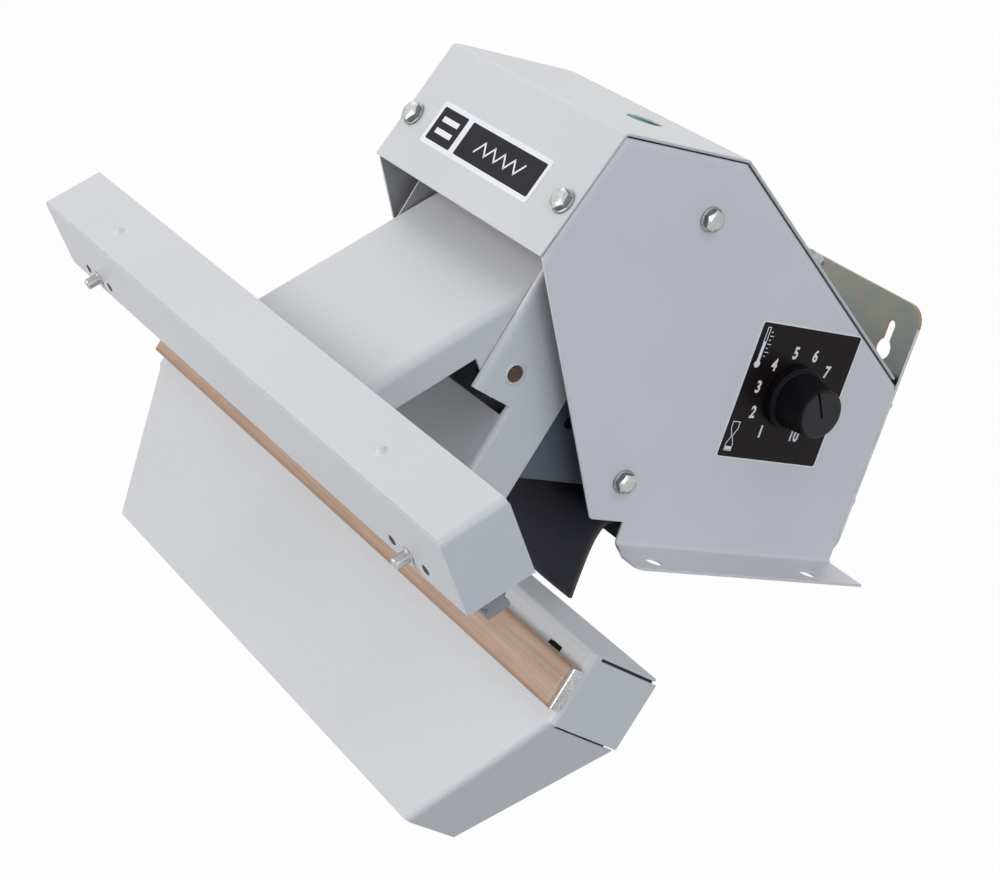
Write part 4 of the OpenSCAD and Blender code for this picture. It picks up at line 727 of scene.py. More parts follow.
# %% Wall plate
HOUSING_BACK_Z = 108.9 * MM
FACES_WALL = 0.8
wall = copy_of("wall_plate")
soften(wall, 0.3 * MM)
for face in wall.faces:
    if abs(face.normal.y) < FACES_WALL:
        face.material_index = 1 if face.calc_center_median().z > HOUSING_BACK_Z else 2
remade("wall_plate", "wall_plate_sheet", wall, cut_edge, bright_zinc)

# %% [markdown]
# ## Side panels
# Each panel's outer face rolls over along the cover, so that its rim glows softly beside a dark gap.
# The rims are rolled like the ears. The tabs that carry the cover's bolts are thinned a little,
# so that the gap runs on past them, and the base flange's front corner is drawn out to its real slant.
# The edges that lie under the cover get a dark finish, painted shade in the gap, so that the gap reads as a
# line.

# %% Side panels
SIDEWAYS = Vector((1, 0, 0))
UPWARDS = Vector((0, 0, 1))
FRONT_SLOPE = Vector((0, 26.0, 65.1)).normalized()
REAR_SLOPE = Vector((0, 152.5, -98.6)).normalized()
front_out = SIDEWAYS.cross(FRONT_SLOPE)
rear_out = SIDEWAYS.cross(REAR_SLOPE)
COVER_NOSE = Vector((0, -170.6, 142.4)) * MM
COVER_REAR = Vector((0, -66.0, 207.5)) * MM
rims = ((COVER_NOSE, front_out), (COVER_REAR, UPWARDS), (COVER_REAR, rear_out))
PANEL_X = 80.0 * MM
PANEL_EDGE = 2.3 * MM
RIM_WIDTH = 3.8 * MM
RIM_DEPTH = 1.05 * MM
RIM_SHARES = (0.15, 0.33, 0.55, 0.78, 1.0)
EDGE_ROUND = 0.35 * MM
FACES_COVER = 0.75
FOOT_FRONT = -66.0 * MM
FLANGE_BEND = 82.0 * MM
FLANGE_STEP = (88.9 * MM, 93.5 * MM)
FLANGE_TOP = 1.6 * MM
FLANGE_SLANT = 0.5


def below_cover(point, corner, out):
    return -(point - corner).dot(out)


def under_cover(face):
    middle = face.calc_center_median()
    return any(
        face.normal.dot(out) > FACES_COVER and below_cover(middle, corner, out) < PANEL_EDGE + EDGE_ROUND
        for corner, out in rims
    )


def rim_drop(point):
    inside = min(below_cover(point, corner, out) for corner, out in rims) - PANEL_EDGE
    return RIM_DEPTH * nearness(inside, RIM_WIDTH) ** 2


for node, name in (("right_panel", "right_panel_sheet"), ("left_panel", "left_panel_sheet")):
    panel = copy_of(node)
    for vert in panel.verts:
        for corner, out in rims:
            vert.co -= max(0.0, PANEL_EDGE - below_cover(vert.co, corner, out)) * out
        reach = abs(vert.co.x)
        in_flange = FLANGE_STEP[0] < reach < FLANGE_STEP[1] and vert.co.z < FLANGE_TOP
        if in_flange and vert.co.y < FOOT_FRONT + ON_FACE:
            vert.co.y = FOOT_FRONT - FLANGE_SLANT * (reach - FLANGE_BEND)
    merge(panel)
    for corner, out in rims:
        for share in RIM_SHARES:
            cut_face(panel, PANEL_X, corner - (PANEL_EDGE + share * RIM_WIDTH) * out, out)
    let_down(panel, PANEL_X, rim_drop)
    soften(panel, EDGE_ROUND)
    shade_inside_faces(panel)
    # Edge faces under the cover get the third slot: painted shade for the dark gap.
    for face in panel.faces:
        if under_cover(face):
            face.material_index = 2
    remade(node, name, panel, inside_painted_shade, dark_steel_and_gap_shade)

# %% [markdown]
# ## Seal bar with sawn ends
# The bar is mill-finish aluminium, cut to length with a saw, so its two ends are rougher and brighter.
# They are faces of the same piece, so they get a second material slot.

# %% Seal bar
BAR_END_X = 210.0 * MM
FACES_END = 0.9
bar = copy_of("seal_bar")
soften(bar, 0.3 * MM)
for face in bar.faces:
    if abs(face.normal.x) > FACES_END and abs(face.calc_center_median().x) > BAR_END_X:
        face.material_index = 1
remade("seal_bar", "bar_with_sawn_ends", bar, sawn_aluminium)

# %% [markdown]
# ## Turned and grown shapes
# Spin turns half a profile into a lathe shape. Extruding a ring's edges grows the next ring, level by level.
# A part is made round the origin, then turned to face its way, moved, and put into the piece it belongs to.

# %% Turned and grown shapes
def turned(profile, steps=40, unit=MM):
    shape = bmesh.new()
    corners = [shape.verts.new((r * unit, 0, z * unit)) for r, z in profile]
    line = [shape.edges.new(pair) for pair in zip(corners, corners[1:])]
    bmesh.ops.spin(
        shape, geom=corners + line, cent=(0, 0, 0), axis=(0, 0, 1), dvec=(0, 0, 0),
        angle=math.tau, steps=steps, use_merge=True,
    )
    bmesh.ops.remove_doubles(shape, verts=shape.verts, dist=WELD)
    bmesh.ops.recalc_face_normals(shape, faces=shape.faces)
    return shape


def facing(out):
    return out.to_track_quat("Z", "Y").to_matrix().to_4x4()


def put_into(shape, part, place=Matrix()):
    bmesh.ops.transform(part, matrix=place, verts=part.verts)
    mesh = bpy.data.meshes.new("part")
    part.to_mesh(mesh)
    part.free()
    shape.from_mesh(mesh)
    bpy.data.meshes.remove(mesh)


def edges_of(verts):
    return list(dict.fromkeys(edge for vert in verts for edge in vert.link_edges))


def grow(shape, edges):
    grown = bmesh.ops.extrude_edge_only(shape, edges=edges)["geom"]
    ring = [item for item in grown if isinstance(item, bmesh.types.BMVert)]
    members = set(ring)
    front = [item for item in grown if isinstance(item, bmesh.types.BMEdge) and set(item.verts) <= members]
    return ring, front


print("lathe and ring helpers ready")

# %% [markdown]
# ## One flanged bolt
# A bolt is a lathe shape with a six-sided head: a spun profile makes the flange and the shank.
# The head starts as a ring that is extruded outwards and down, from a low dome to the hexagon.
# The cone that a forge leaves on the head's corners lowers the hexagon's points most.

# %% One flanged bolt
BOLT_R = 3.0 * MM
BOLT_HEX = 10.0 * MM
BOLT_HEAD = 5.2 * MM
FLANGE_R = 6.5 * MM
FLANGE_T = 1.6 * MM
HEAD_STEPS = 48
CORNER_SLOPE = math.tan(math.radians(32))
CRISP = math.radians(25)
HEAD_ROUND = 0.12 * MM
HEAD_DOME = 0.12 * MM


def bolt_body(length):
    profile = (
        (0, -length), (BOLT_R - 0.7 * MM, -length), (BOLT_R, -length + 0.8 * MM), (BOLT_R, 0),
        (FLANGE_R - 0.2 * MM, 0), (FLANGE_R, 0.2 * MM), (FLANGE_R, 0.7 * MM),
        (FLANGE_R - 0.3 * MM, 1.05 * MM), (BOLT_HEX / 2, 1.5 * MM), (0, 1.5 * MM),
    )
    return turned(profile, HEAD_STEPS, 1.0)


def hex_radius(angle):
    return BOLT_HEX / 2 / math.cos((angle + math.pi / 6) % (math.pi / 3) - math.pi / 6)


def bolt_head(shape):
    ring = bmesh.ops.create_circle(shape, segments=HEAD_STEPS, radius=1.0)["verts"]
    edges = edges_of(ring)
    bmesh.ops.contextual_create(shape, geom=edges)
    flat_r = 0.72 * BOLT_HEX / 2
    levels = (
        (lambda a: 0.45 * flat_r, lambda r: BOLT_HEAD + HEAD_DOME), (lambda a: flat_r, lambda r: BOLT_HEAD),
        (hex_radius, lambda r: BOLT_HEAD - (r - flat_r) * CORNER_SLOPE), (hex_radius, lambda r: 1.2 * MM),
    )
    for number, (reach, height) in enumerate(levels):
        if number:
            ring, edges = grow(shape, edges)
        for vert in ring:
            angle = math.atan2(vert.co.y, vert.co.x)
            radius = reach(angle)
            vert.co = (radius * math.cos(angle), radius * math.sin(angle), height(radius))
    bmesh.ops.contextual_create(shape, geom=edges)
    crisp = [
        edge for edge in shape.edges
        if edge.is_manifold and edge.calc_face_angle() > CRISP and min(vert.co.z for vert in edge.verts) > MM
    ]
    round_off(shape, crisp, HEAD_ROUND, 2)


print("bolt head:", round(BOLT_HEX / MM), "mm across its flats, flange", round(2 * FLANGE_R / MM), "mm")

# %% [markdown]
# ## Bolts in their places
# One CAD node holds a whole set of bolts. Walking along the edges from corner to corner parts it into bolts,
# and each one's middle and its outermost point say where the new bolt is seated.
# The plating is bright on top, and the sides and the flange get a darker zinc, which is painted shade for
# their dark outlines.
# Every bolt is turned by another angle, as it happens to end up when it is tightened.

# %% Bolts in their places
FACES_OUT = 0.55
FIRST_TURN = 0.5
NEXT_TURN = 0.37


def middle_of(points):
    return sum(points, Vector()) / len(points)


def islands(node):
    shape = copy_of(node)
    seen = set()
    groups = []
    for first in shape.verts:
        if first in seen:
            continue
        group = [first]
        seen.add(first)
        for vert in group:
            near = [edge.other_vert(vert) for edge in vert.link_edges]
            fresh = [other for other in near if other not in seen]
            seen.update(fresh)
            group += fresh
        groups.append([vert.co.copy() for vert in group])
    shape.free()
    return sorted(groups, key=lambda group: [round(x, 3) for x in middle_of(group)])


def seat_of(points, out, proud):
    middle = middle_of(points)
    return middle + (max(point.dot(out) for point in points) - proud - middle.dot(out)) * out


def bolts(node, name, out_of):
    shape = bmesh.new()
    for number, points in enumerate(islands(node)):
        out = out_of(middle_of(points))
        reach = [point.dot(out) for point in points]
        seat = seat_of(points, out, BOLT_HEAD)
        one = bolt_body(max(reach) - min(reach) - BOLT_HEAD)
        bolt_head(one)
        bmesh.ops.recalc_face_normals(one, faces=one.faces)
        # Sides and flange take the darker zinc: painted shade.
        for face in one.faces:
            on_side = face.normal.z < FACES_OUT or face.calc_center_median().z < FLANGE_T
            face.material_index = 1 if on_side else 0
        turn = facing(out) @ Matrix.Rotation(FIRST_TURN + NEXT_TURN * number, 4, "Z")
        put_into(shape, one, Matrix.Translation(seat) @ turn)
    remade(node, name, shape, shaded_zinc)


slope_parting_y = -100.0 * MM
bolts("side_bolts", "side_bolt_set", lambda middle: SIDEWAYS * math.copysign(1, middle.x))
bolts("wall_bolts", "wall_bolt_set", lambda middle: Vector((0, 1, 0)))
bolts("cover_bolts", "cover_bolt_set", lambda middle: front_out if middle.y < slope_parting_y else rear_out)

# %% [markdown]
# ## Body of the knob
# The control knob is moulded: a low drum with a soft rim, and on it a tapered, finely ribbed grip
# with a flat face.
# A ring is extruded level by level, and a cosine in its radius raises the ribs only along the grip.

# %% Body of the knob
RIBS = 52
RIB_STEPS = 6
RIB_DEPTH = 0.6 * MM
KNOB_LEVELS = (
    (0.0, 17.2, 0), (0.15, 17.42, 0), (0.4, 17.5, 0), (4.3, 17.35, 0), (4.75, 17.2, 0), (5.0, 16.85, 0),
    (5.05, 16.3, 0), (4.9, 15.9, 0), (5.1, 15.65, 0.3), (5.8, 15.5, 1), (14.0, 14.6, 1), (22.8, 13.65, 1),
    (23.7, 13.5, 0.8), (24.2, 13.3, 0.35), (24.6, 13.0, 0), (24.88, 12.6, 0), (25.0, 12.0, 0),
    (24.95, 11.4, 0), (24.9, 6.0, 0),
)
KNOB_BORE = ((0.0, 7.6), (5.0, 7.6), (5.0, 3.03), (18.0, 3.03))


def set_ring(ring, height, radius, ribs=0.0):
    for vert in ring:
        angle = math.atan2(vert.co.y, vert.co.x)
        reach = radius * MM - ribs * RIB_DEPTH * (0.5 - 0.5 * math.cos(RIBS * angle))
        vert.co = (reach * math.cos(angle), reach * math.sin(angle), height * MM)


def loft_ring(shape, edges, height, radius, ribs=0.0):
    ring, front = grow(shape, edges)
    set_ring(ring, height, radius, ribs)
    return front


knob = bmesh.new()
first_ring = bmesh.ops.create_circle(knob, segments=RIBS * RIB_STEPS, radius=1.0)["verts"]
rim = edges_of(first_ring)
set_ring(first_ring, *KNOB_LEVELS[0])
edges = rim
for level in KNOB_LEVELS[1:]:
    edges = loft_ring(knob, edges, *level)
bmesh.ops.contextual_create(knob, geom=edges)
edges = rim
for height, radius in KNOB_BORE:
    edges = loft_ring(knob, edges, height, radius)
bmesh.ops.contextual_create(knob, geom=edges)
bmesh.ops.recalc_face_normals(knob, faces=knob.faces)
print("knob:", RIBS, "ribs,", len(KNOB_LEVELS), "levels")

# %% [markdown]
# ## Pointer of the knob
# The pointer is a groove in the knob's face, from its middle over the rim.
# Cuts beside the groove's line and behind its end let the strip between them be pushed in.
# The knob was made standing on the origin, so at last it is turned to the pointer's angle and put in place.

# %% Pointer of the knob
KNOB_H = 25.0 * MM
POINTER_W = 1.4 * MM
POINTER_DEPTH = 0.9 * MM
POINTER_PAST = -1.8 * MM
POINTER_ANGLE = math.radians(123)
FACES_UP = 0.05
FACES_FRONT = 0.9
groove_floor = KNOB_H - POINTER_DEPTH
POINTER_CUTS = (
    ((0, POINTER_W / 2, 0), (0, 1, 0)),
    ((0, -POINTER_W / 2, 0), (0, 1, 0)),
    ((POINTER_PAST, 0, 0), (1, 0, 0)),
)
for cut_place, cut_way in POINTER_CUTS:
    near = [face for face in knob.faces if face.calc_center_median().z > groove_floor]
    cut_across(knob, near, cut_place, cut_way)
groove = [
    face for face in knob.faces
    if face.calc_center_median().z > groove_floor and face.normal.z > FACES_UP
    and abs(face.calc_center_median().y) < POINTER_W / 2 and face.calc_center_median().x > POINTER_PAST
]
pushed = bmesh.ops.extrude_face_region(knob, geom=groove)["geom"]
bmesh.ops.delete(knob, geom=groove, context="FACES")
for item in pushed:
    if isinstance(item, bmesh.types.BMVert):
        item.co.z = min(item.co.z, groove_floor)
# The face gets the lighter black, which is painted light.
for face in knob.faces:
    if face.normal.z > FACES_FRONT and face.calc_center_median().z > groove_floor + POINTER_DEPTH / 2:
        face.material_index = 1

knob_low, knob_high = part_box("knob")
knob_axes = Matrix(((0, 0, 1), (1, 0, 0), (0, 1, 0))).to_4x4()
dial_centre = (knob_low + knob_high) / 2
knob_seat = Vector((knob_low.x, dial_centre.y, dial_centre.z))
knob_turn = Matrix.Translation(knob_seat) @ knob_axes @ Matrix.Rotation(POINTER_ANGLE, 4, "Z")
bmesh.ops.transform(knob, matrix=knob_turn, verts=knob.verts)
bmesh.ops.dissolve_degenerate(knob, dist=WELD / 2, edges=knob.edges)
remade("knob", "ribbed_knob", knob, knob_face_painted_light)

# %% [markdown]
# ## Numbers on the dial label
# The label is black film with white print, and numbers for the sealing time stand round the knob.
# Text starts as a font curve and is made a mesh, so that it can be measured and brought to its real height.
# The offset that makes the strokes bold breaks the font's 9, so that one is a 6, turned over.

# %% Numbers on the dial label
INK = 0.03 * MM
NUMBERS = 10
NUMBER_HEIGHT = 6.9 * MM
NUMBER_WIDTH = 0.78
NUMBER_RING = 24.3 * MM
FIRST_NUMBER = math.radians(241)
NUMBER_STEP = math.radians(33.5)
BOLD = 0.03
HALF_DEPTH = 0.5
label_low, label_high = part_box("dial_label")
label_face = Vector((label_high.x, dial_centre.y, dial_centre.z))
label_plane = Matrix.Translation(label_face) @ knob_axes


def number_shape(words):
    curve = bpy.data.curves.new("number", "FONT")
    curve.body = words.replace("9", "6")
    curve.align_x = "CENTER"
    curve.offset = BOLD
    curve.extrude = HALF_DEPTH
    holder = bpy.data.objects.new("number", curve)
    scene.collection.objects.link(holder)
    ready = holder.evaluated_get(bpy.context.evaluated_depsgraph_get())
    mesh = bpy.data.meshes.new_from_object(ready)
    bpy.data.objects.remove(holder)
    bpy.data.curves.remove(curve)
    tall = [vert.co.y for vert in mesh.vertices]
    size = NUMBER_HEIGHT / (max(tall) - min(tall))
    sink = Matrix.Translation((0, -(max(tall) + min(tall)) / 2, HALF_DEPTH))
    half_turn = Matrix.Rotation(math.pi if words == "9" else 0.0, 4, "Z")
    mesh.transform(half_turn @ Matrix.Diagonal((size * NUMBER_WIDTH, size, INK, 1)) @ sink)
    shape = bmesh.new()
    shape.from_mesh(mesh)
    bpy.data.meshes.remove(mesh)
    return shape


numbers = bmesh.new()
for index in range(NUMBERS):
    angle = FIRST_NUMBER - index * NUMBER_STEP
    spot = Vector((math.cos(angle), math.sin(angle), 0)) * NUMBER_RING
    put_into(numbers, number_shape(str(index + 1)), label_plane @ Matrix.Translation(spot))
place_piece("dial_numbers", numbers, "base", white_print, slot="label")
print("numbers printed at", round(NUMBER_RING / MM, 1), "mm from the dial's centre")

# %% [markdown]
# ## Printed strokes
# Other print is a thin skin of bars and discs. A stroke is a bar that runs from one point to the next.
# Where two strokes cross, one is a coat of ink higher, so that no two faces lie in one plane.

# %% Printed strokes
def print_bar(shape, middle, length, width, angle=0.0, coats=1):
    place = Matrix.Translation((*middle, coats * INK / 2)) @ Matrix.Rotation(angle, 4, "Z")
    bmesh.ops.create_cube(shape, size=1.0, matrix=place @ Matrix.Diagonal((length, width, coats * INK, 1)))


def print_disc(shape, middle, radius):
    place = Matrix.Translation((*middle, INK / 2))
    bmesh.ops.create_cone(
        shape, cap_ends=True, segments=32, radius1=radius, radius2=radius, depth=INK, matrix=place
    )


def print_line(shape, start, end, width, coats=1):
    run = end - start
    print_bar(shape, (start + end) / 2, run.length + width, width, math.atan2(run.y, run.x), coats)


print("one coat of ink:", round(INK / MM, 2), "mm")

# %% [markdown]
# ## Dial pictures
# Beside the numbers stand a thermometer, filled past its middle and with a scale of ticks, and an hourglass.
# Both are made of strokes, and only the thermometer's bulb is a disc.

# %% Dial pictures
PEN = 0.42 * MM
STEM_HEIGHT = 20.2 * MM
FILLED_HEIGHT = 11.4 * MM
BULB_R = 1.95 * MM
TICKS = 7
FIRST_TICK = 4.6 * MM
TICK_STEP = 2.2 * MM
TICK_START = 2.3 * MM
SHORT_TICK = 3.2 * MM
LONG_TICK = 4.4 * MM
thermometer = Vector((-30.7, 14.4)) * MM
glass = Vector((-29.9, -33.6)) * MM
filled_top = thermometer + Vector((0, FILLED_HEIGHT))
stem_top = thermometer + Vector((0, STEM_HEIGHT))
stem_half = Vector((0.85 * MM, 0))
pictures = bmesh.new()
print_disc(pictures, thermometer, BULB_R)
print_line(pictures, thermometer, filled_top, 1.9 * MM, 2)
for side in (-1, 1):
    print_line(pictures, filled_top + side * stem_half, stem_top + side * stem_half, PEN, 3)
print_line(pictures, stem_top - stem_half, stem_top + stem_half, PEN, 4)
for tick in range(TICKS):
    height = FIRST_TICK + TICK_STEP * tick
    reach = LONG_TICK if tick % 2 else SHORT_TICK
    tick_start = thermometer + Vector((TICK_START, height))
    tick_end = thermometer + Vector((reach, height))
    print_line(pictures, tick_start, tick_end, PEN)

GLASS_HEIGHT = 16.0 * MM
GLASS_HALF = Vector((2.3 * MM, 0))
GLASS_WALL = ((2.3, 0.0), (2.3, 3.6), (0.4, 7.6), (0.4, 8.4), (2.3, 12.4), (2.3, 16.0))
for side in (-1, 1):
    wall_points = [glass + Vector((side * x, y)) * MM for x, y in GLASS_WALL]
    for number, (start, end) in enumerate(zip(wall_points, wall_points[1:])):
        print_line(pictures, start, end, PEN, 1 + number % 2)
for height in (0.0, GLASS_HEIGHT):
    plate = glass + Vector((0, height))
    print_line(pictures, plate - GLASS_HALF, plate + GLASS_HALF, PEN, 3)
sand_middle = glass + Vector((0, 1.4 * MM))
sand_half = Vector((1.0 * MM, 0))
print_line(pictures, sand_middle - sand_half, sand_middle + sand_half, 1.7 * MM, 4)
bmesh.ops.transform(pictures, matrix=label_plane, verts=pictures.verts)
place_piece("dial_pictures", pictures, "base", white_print, slot="label")
tall_marks = [round(height / MM, 1) for height in (STEM_HEIGHT + BULB_R, GLASS_HEIGHT)]
print("thermometer and hourglass printed, heights in mm:", tall_marks)

# %% [markdown]
# ## Pale rim of the label
# The film is white and is printed black almost to its cut edge, so a thin pale rim frames it.
# A copy of the label is let out by the rim's width, its front is inset, and the faces along its edge
# get the white print's finish.

# %% Pale rim of the label
RIM_W = 0.65 * MM
PAST_KNOB = 20.0 * MM
FACES_ASIDE = 0.5
RIM_GROWTH = 2 * RIM_W / (label_high.y - label_low.y)
label_card = copy_of("dial_label")
label_middle = (label_low + label_high) / 2
for vert in label_card.verts:
    vert.co += (vert.co - label_middle) * Vector((0, RIM_GROWTH, RIM_GROWTH))
label_front = [face for face in label_card.faces if face.normal.x > FACES_FRONT]
framed = set(bmesh.ops.inset_region(label_card, faces=label_front, thickness=RIM_W)["faces"])
for face in label_card.faces:
    by_edge = face in framed or abs(face.normal.x) < FACES_ASIDE
    if by_edge and (face.calc_center_median() - label_face).length > PAST_KNOB:
        face.material_index = 1
remade("dial_label", "dial_label_film", label_card, white_print)

# %% [markdown]
# ## Name place
# The front slope carries a plate of white film with two dark fields,
# one with a pair of bars for the jaws and one with a zigzag for the heater.
# A field is one square whose corners are bevelled round, and a thin extrusion gives it the ink's body.

# %% Name place
def rounded_card(shape, low, high, corner_r):
    middle = Vector((*((low + high) / 2), 0))
    size = high - low
    place = Matrix.Translation(middle) @ Matrix.Diagonal((size.x, size.y, 1, 1))
    made = bmesh.ops.create_grid(shape, x_segments=1, y_segments=1, size=0.5, matrix=place)["verts"]
    round_off(shape, made, corner_r, 6, "VERTICES")


def raise_card(shape, height):
    bmesh.ops.recalc_face_normals(shape, faces=shape.faces)
    top = bmesh.ops.extrude_face_region(shape, geom=list(shape.faces))["geom"]
    raised = [item for item in top if isinstance(item, bmesh.types.BMVert)]
    bmesh.ops.translate(shape, verts=raised, vec=(0, 0, height))
    return [item for item in top if isinstance(item, bmesh.types.BMFace)]


name_low, name_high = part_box("name_plate")
name_axes = Matrix((SIDEWAYS, FRONT_SLOPE, front_out)).transposed().to_4x4()
plate_middle = (name_low + name_high) / 2
plate_out = max(vert.co.dot(front_out) for vert in nodes["name_plate"].data.vertices)
plate_middle += (plate_out - plate_middle.dot(front_out)) * front_out
name_plane = Matrix.Translation(plate_middle) @ name_axes
FIELD_H = 19.0 * MM
LEFT_FIELD = (-48.4 * MM, -25.1 * MM)
RIGHT_FIELD = (-20.5 * MM, 48.8 * MM)
FIELD_R = 0.9 * MM
BAR_SIZE = (15.0 * MM, 3.0 * MM)
BAR_RISE = 3.4 * MM
ZIGZAG_STROKES = 9
ZIGZAG_STEP = 4.6 * MM
ZIGZAG_RISE = 3.2 * MM
ZIGZAG_PEN = 1.1 * MM

fields = bmesh.new()
for start, end in (LEFT_FIELD, RIGHT_FIELD):
    card = bmesh.new()
    rounded_card(card, Vector((start, -FIELD_H / 2)), Vector((end, FIELD_H / 2)), FIELD_R)
    raise_card(card, INK)
    bmesh.ops.recalc_face_normals(card, faces=card.faces)
    put_into(fields, card, name_plane)
place_piece("name_fields", fields, "base", name_ink, slot="label")

signs = bmesh.new()
left_middle = Vector((sum(LEFT_FIELD) / 2, 0))
for height in (-BAR_RISE, BAR_RISE):
    print_bar(signs, left_middle + Vector((0, height)), *BAR_SIZE)
zigzag_start = sum(RIGHT_FIELD) / 2 - ZIGZAG_STROKES / 2 * ZIGZAG_STEP
zigzag = [
    Vector((zigzag_start + step * ZIGZAG_STEP, ZIGZAG_RISE if step % 2 else -ZIGZAG_RISE))
    for step in range(ZIGZAG_STROKES + 1)
]
for start, end in zip(zigzag, zigzag[1:]):
    print_line(signs, start, end, ZIGZAG_PEN)
bmesh.ops.transform(signs, matrix=name_plane @ Matrix.Translation((0, 0, INK)), verts=signs.verts)
place_piece("name_signs", signs, "base", name_film, slot="label")
print("name place: two dark fields,", ZIGZAG_STROKES, "strokes in the zigzag")

# %% [markdown]
# ## Rubber flap
# A sheet of black rubber lies on the floor tray and hangs over its front edge, where it takes a lazy S.
# Its section is a few points in a row, extruded across the width and rounded by a subdivision surface.
# Solidify then gives it its real thickness, and puts the brown cut edge in a second slot.

# %% Rubber flap
FLAP_W = 144.0 * MM
FLAP_T = 2.0 * MM
FLAP_STEPS = 12
FLAP_HANG = 34.0 * MM
SWAY = 0.9 * MM
SWAY_WAVES = 1.7
SWAY_START = 0.6
FLAP_SECTION = (
    (-25.0, 12.0), (-45.0, 12.0), (-58.0, 12.0), (-66.0, 11.3), (-70.5, 8.6), (-72.6, 4.0), (-74.0, -0.9),
    (-74.9, -9.0), (-75.2, -17.5), (-75.4, -26.0), (-75.3, -34.0),
)


def hang(vert):
    depth = max(0.0, -vert.co.z / FLAP_HANG)
    sway = SWAY * math.sin(vert.co.x / FLAP_W * SWAY_WAVES * math.tau + SWAY_START)
    vert.co.y += depth * depth * sway


def extruded_row(shape, section, start_x, width, steps):
    row = [shape.verts.new((start_x, y * MM, z * MM)) for y, z in section]
    edges = [shape.edges.new(pair) for pair in zip(row, row[1:])]
    for _ in range(steps):
        row, edges = grow(shape, edges)
        bmesh.ops.translate(shape, verts=row, vec=(width / steps, 0, 0))
    bmesh.ops.recalc_face_normals(shape, faces=shape.faces)


def section_length(section):
    return sum((Vector(b) - Vector(a)).length for a, b in zip(section, section[1:])) * MM


flap_shape = bmesh.new()
extruded_row(flap_shape, FLAP_SECTION, -FLAP_W / 2, FLAP_W, FLAP_STEPS)
for vert in flap_shape.verts:
    hang(vert)
flap = place_piece(
    "rubber_flap", flap_shape, "base", flap_rubber, flap_edge, stands_for=("front_flap",), slot="flap_rubber"
)
rounding = flap.modifiers.new("rounding", "SUBSURF")
rounding.levels = 2
rounding.render_levels = 2
rounding.boundary_smooth = "PRESERVE_CORNERS"
thickness = flap.modifiers.new("thickness", "SOLIDIFY")
thickness.thickness = FLAP_T
thickness.offset = 0.0
thickness.material_offset_rim = 1

# %% [markdown]
# ## Finish of the coated cloth
# A strip of tan coated glass cloth lies over the bar. It is streaked along its length, worn pale over
# the ribbon, singed along the bar's edges, and stained with rings where something has boiled over.
# Its UVs measure the flat strip in metres, so a place across it is a length along its section.

# %% Finish of the coated cloth
CLOTH_SECTION = (
    (-1.2, 3.8), (-3.0, 3.8), (-5.0, 3.8), (-6.2, 3.85), (-6.62, 4.1), (-6.74, 4.6), (-6.74, 6.5),
    (-6.74, 8.4), (-6.82, 9.0), (-6.82, 10.4), (-6.82, 11.9), (-6.82, 13.4), (-6.82, 14.8), (-6.74, 15.4),
    (-6.74, 18.0), (-6.74, 21.0), (-6.74, 23.8), (-6.62, 24.3), (-6.2, 24.55), (-5.0, 24.6), (-3.0, 24.6),
    (-1.2, 24.6),
)
WORN_REACH = 4.2 * MM
EDGE_REACH = 1.6 * MM
CLOTH_MIDDLE = section_length(CLOTH_SECTION[:11])
LOW_EDGE = section_length(CLOTH_SECTION[:6])
HIGH_EDGE = section_length(CLOTH_SECTION[:18])
STAIN_SIZE = (8.5 * MM, 5.5 * MM)
STAIN_SCALE = (1 / STAIN_SIZE[0], 1 / STAIN_SIZE[1], 1)
STAIN_PLACE = (-189.0 * MM / STAIN_SIZE[0], -(CLOTH_MIDDLE + 3.2 * MM) / STAIN_SIZE[1], 0)


def near_run(graph, across, run, reach):
    away = sums(graph, sums(graph, across, run, "SUBTRACT"), 0.0, "ABSOLUTE")
    sockets = {"Value": away, "From Min": 0.0, "From Max": reach, "To Min": 1.0, "To Max": 0.0}
    return add(graph, "MapRange", sockets).outputs["Result"]


def cloth_finish(name):
    finish, graph, shader = new_finish(name, 0.36)
    where = add(graph, "UVMap").outputs["UV"]
    long_place = add(graph, "Mapping", {"Vector": where, "Scale": (0.02, 1, 1)}).outputs["Vector"]
    streaks = grain(graph, long_place, 640.0, 5.0, 0.75)
    stains = grain(graph, where, 38.0, 4.0)
    tan = ramp(
        graph, streaks, (0.3, (0.35, 0.20, 0.13)), (0.5, (0.445, 0.28, 0.19)), (0.7, (0.53, 0.36, 0.26))
    )
    patches = ramp(graph, stains, (0.3, (0.86, 0.83, 0.80)), (0.7, WHITE))
    across = add(graph, "SeparateXYZ", {"Vector": where}).outputs["Y"]
    worn = sums(graph, near_run(graph, across, CLOTH_MIDDLE, WORN_REACH), 0.3, "MULTIPLY")
    low_edge = near_run(graph, across, LOW_EDGE, EDGE_REACH)
    high_edge = near_run(graph, across, HIGH_EDGE, EDGE_REACH)
    sockets = {"Vector": where, "Location": STAIN_PLACE, "Scale": STAIN_SCALE}
    spot = add(graph, "Mapping", sockets).outputs["Vector"]
    from_spot = add(graph, "VectorMath", {0: spot}, operation="LENGTH").outputs["Value"]
    ring = ramp(
        graph, from_spot, (0.0, WHITE), (0.35, (0.90, 0.89, 0.87)), (0.5, WHITE), (0.62, (0.88, 0.87, 0.85)),
        (0.75, WHITE), (0.88, (0.92, 0.91, 0.90)), (1.0, WHITE),
    )
    body = mixed(graph, 1.0, mixed(graph, 1.0, tan, patches, "MULTIPLY"), ring, "MULTIPLY")
    body = mixed(graph, worn, body, (0.54, 0.39, 0.30, 1))
    singed = sums(graph, sums(graph, low_edge, high_edge), 0.55, "MULTIPLY")
    colour_from(graph, shader, mixed(graph, singed, body, (0.20, 0.10, 0.06, 1)))
    bump_from(graph, shader, sums(graph, weave(graph, where, 900.0, "Y"), streaks), 0.00002)
    roughness_from(graph, shader, stains, 0.3, 0.44)
    return finish


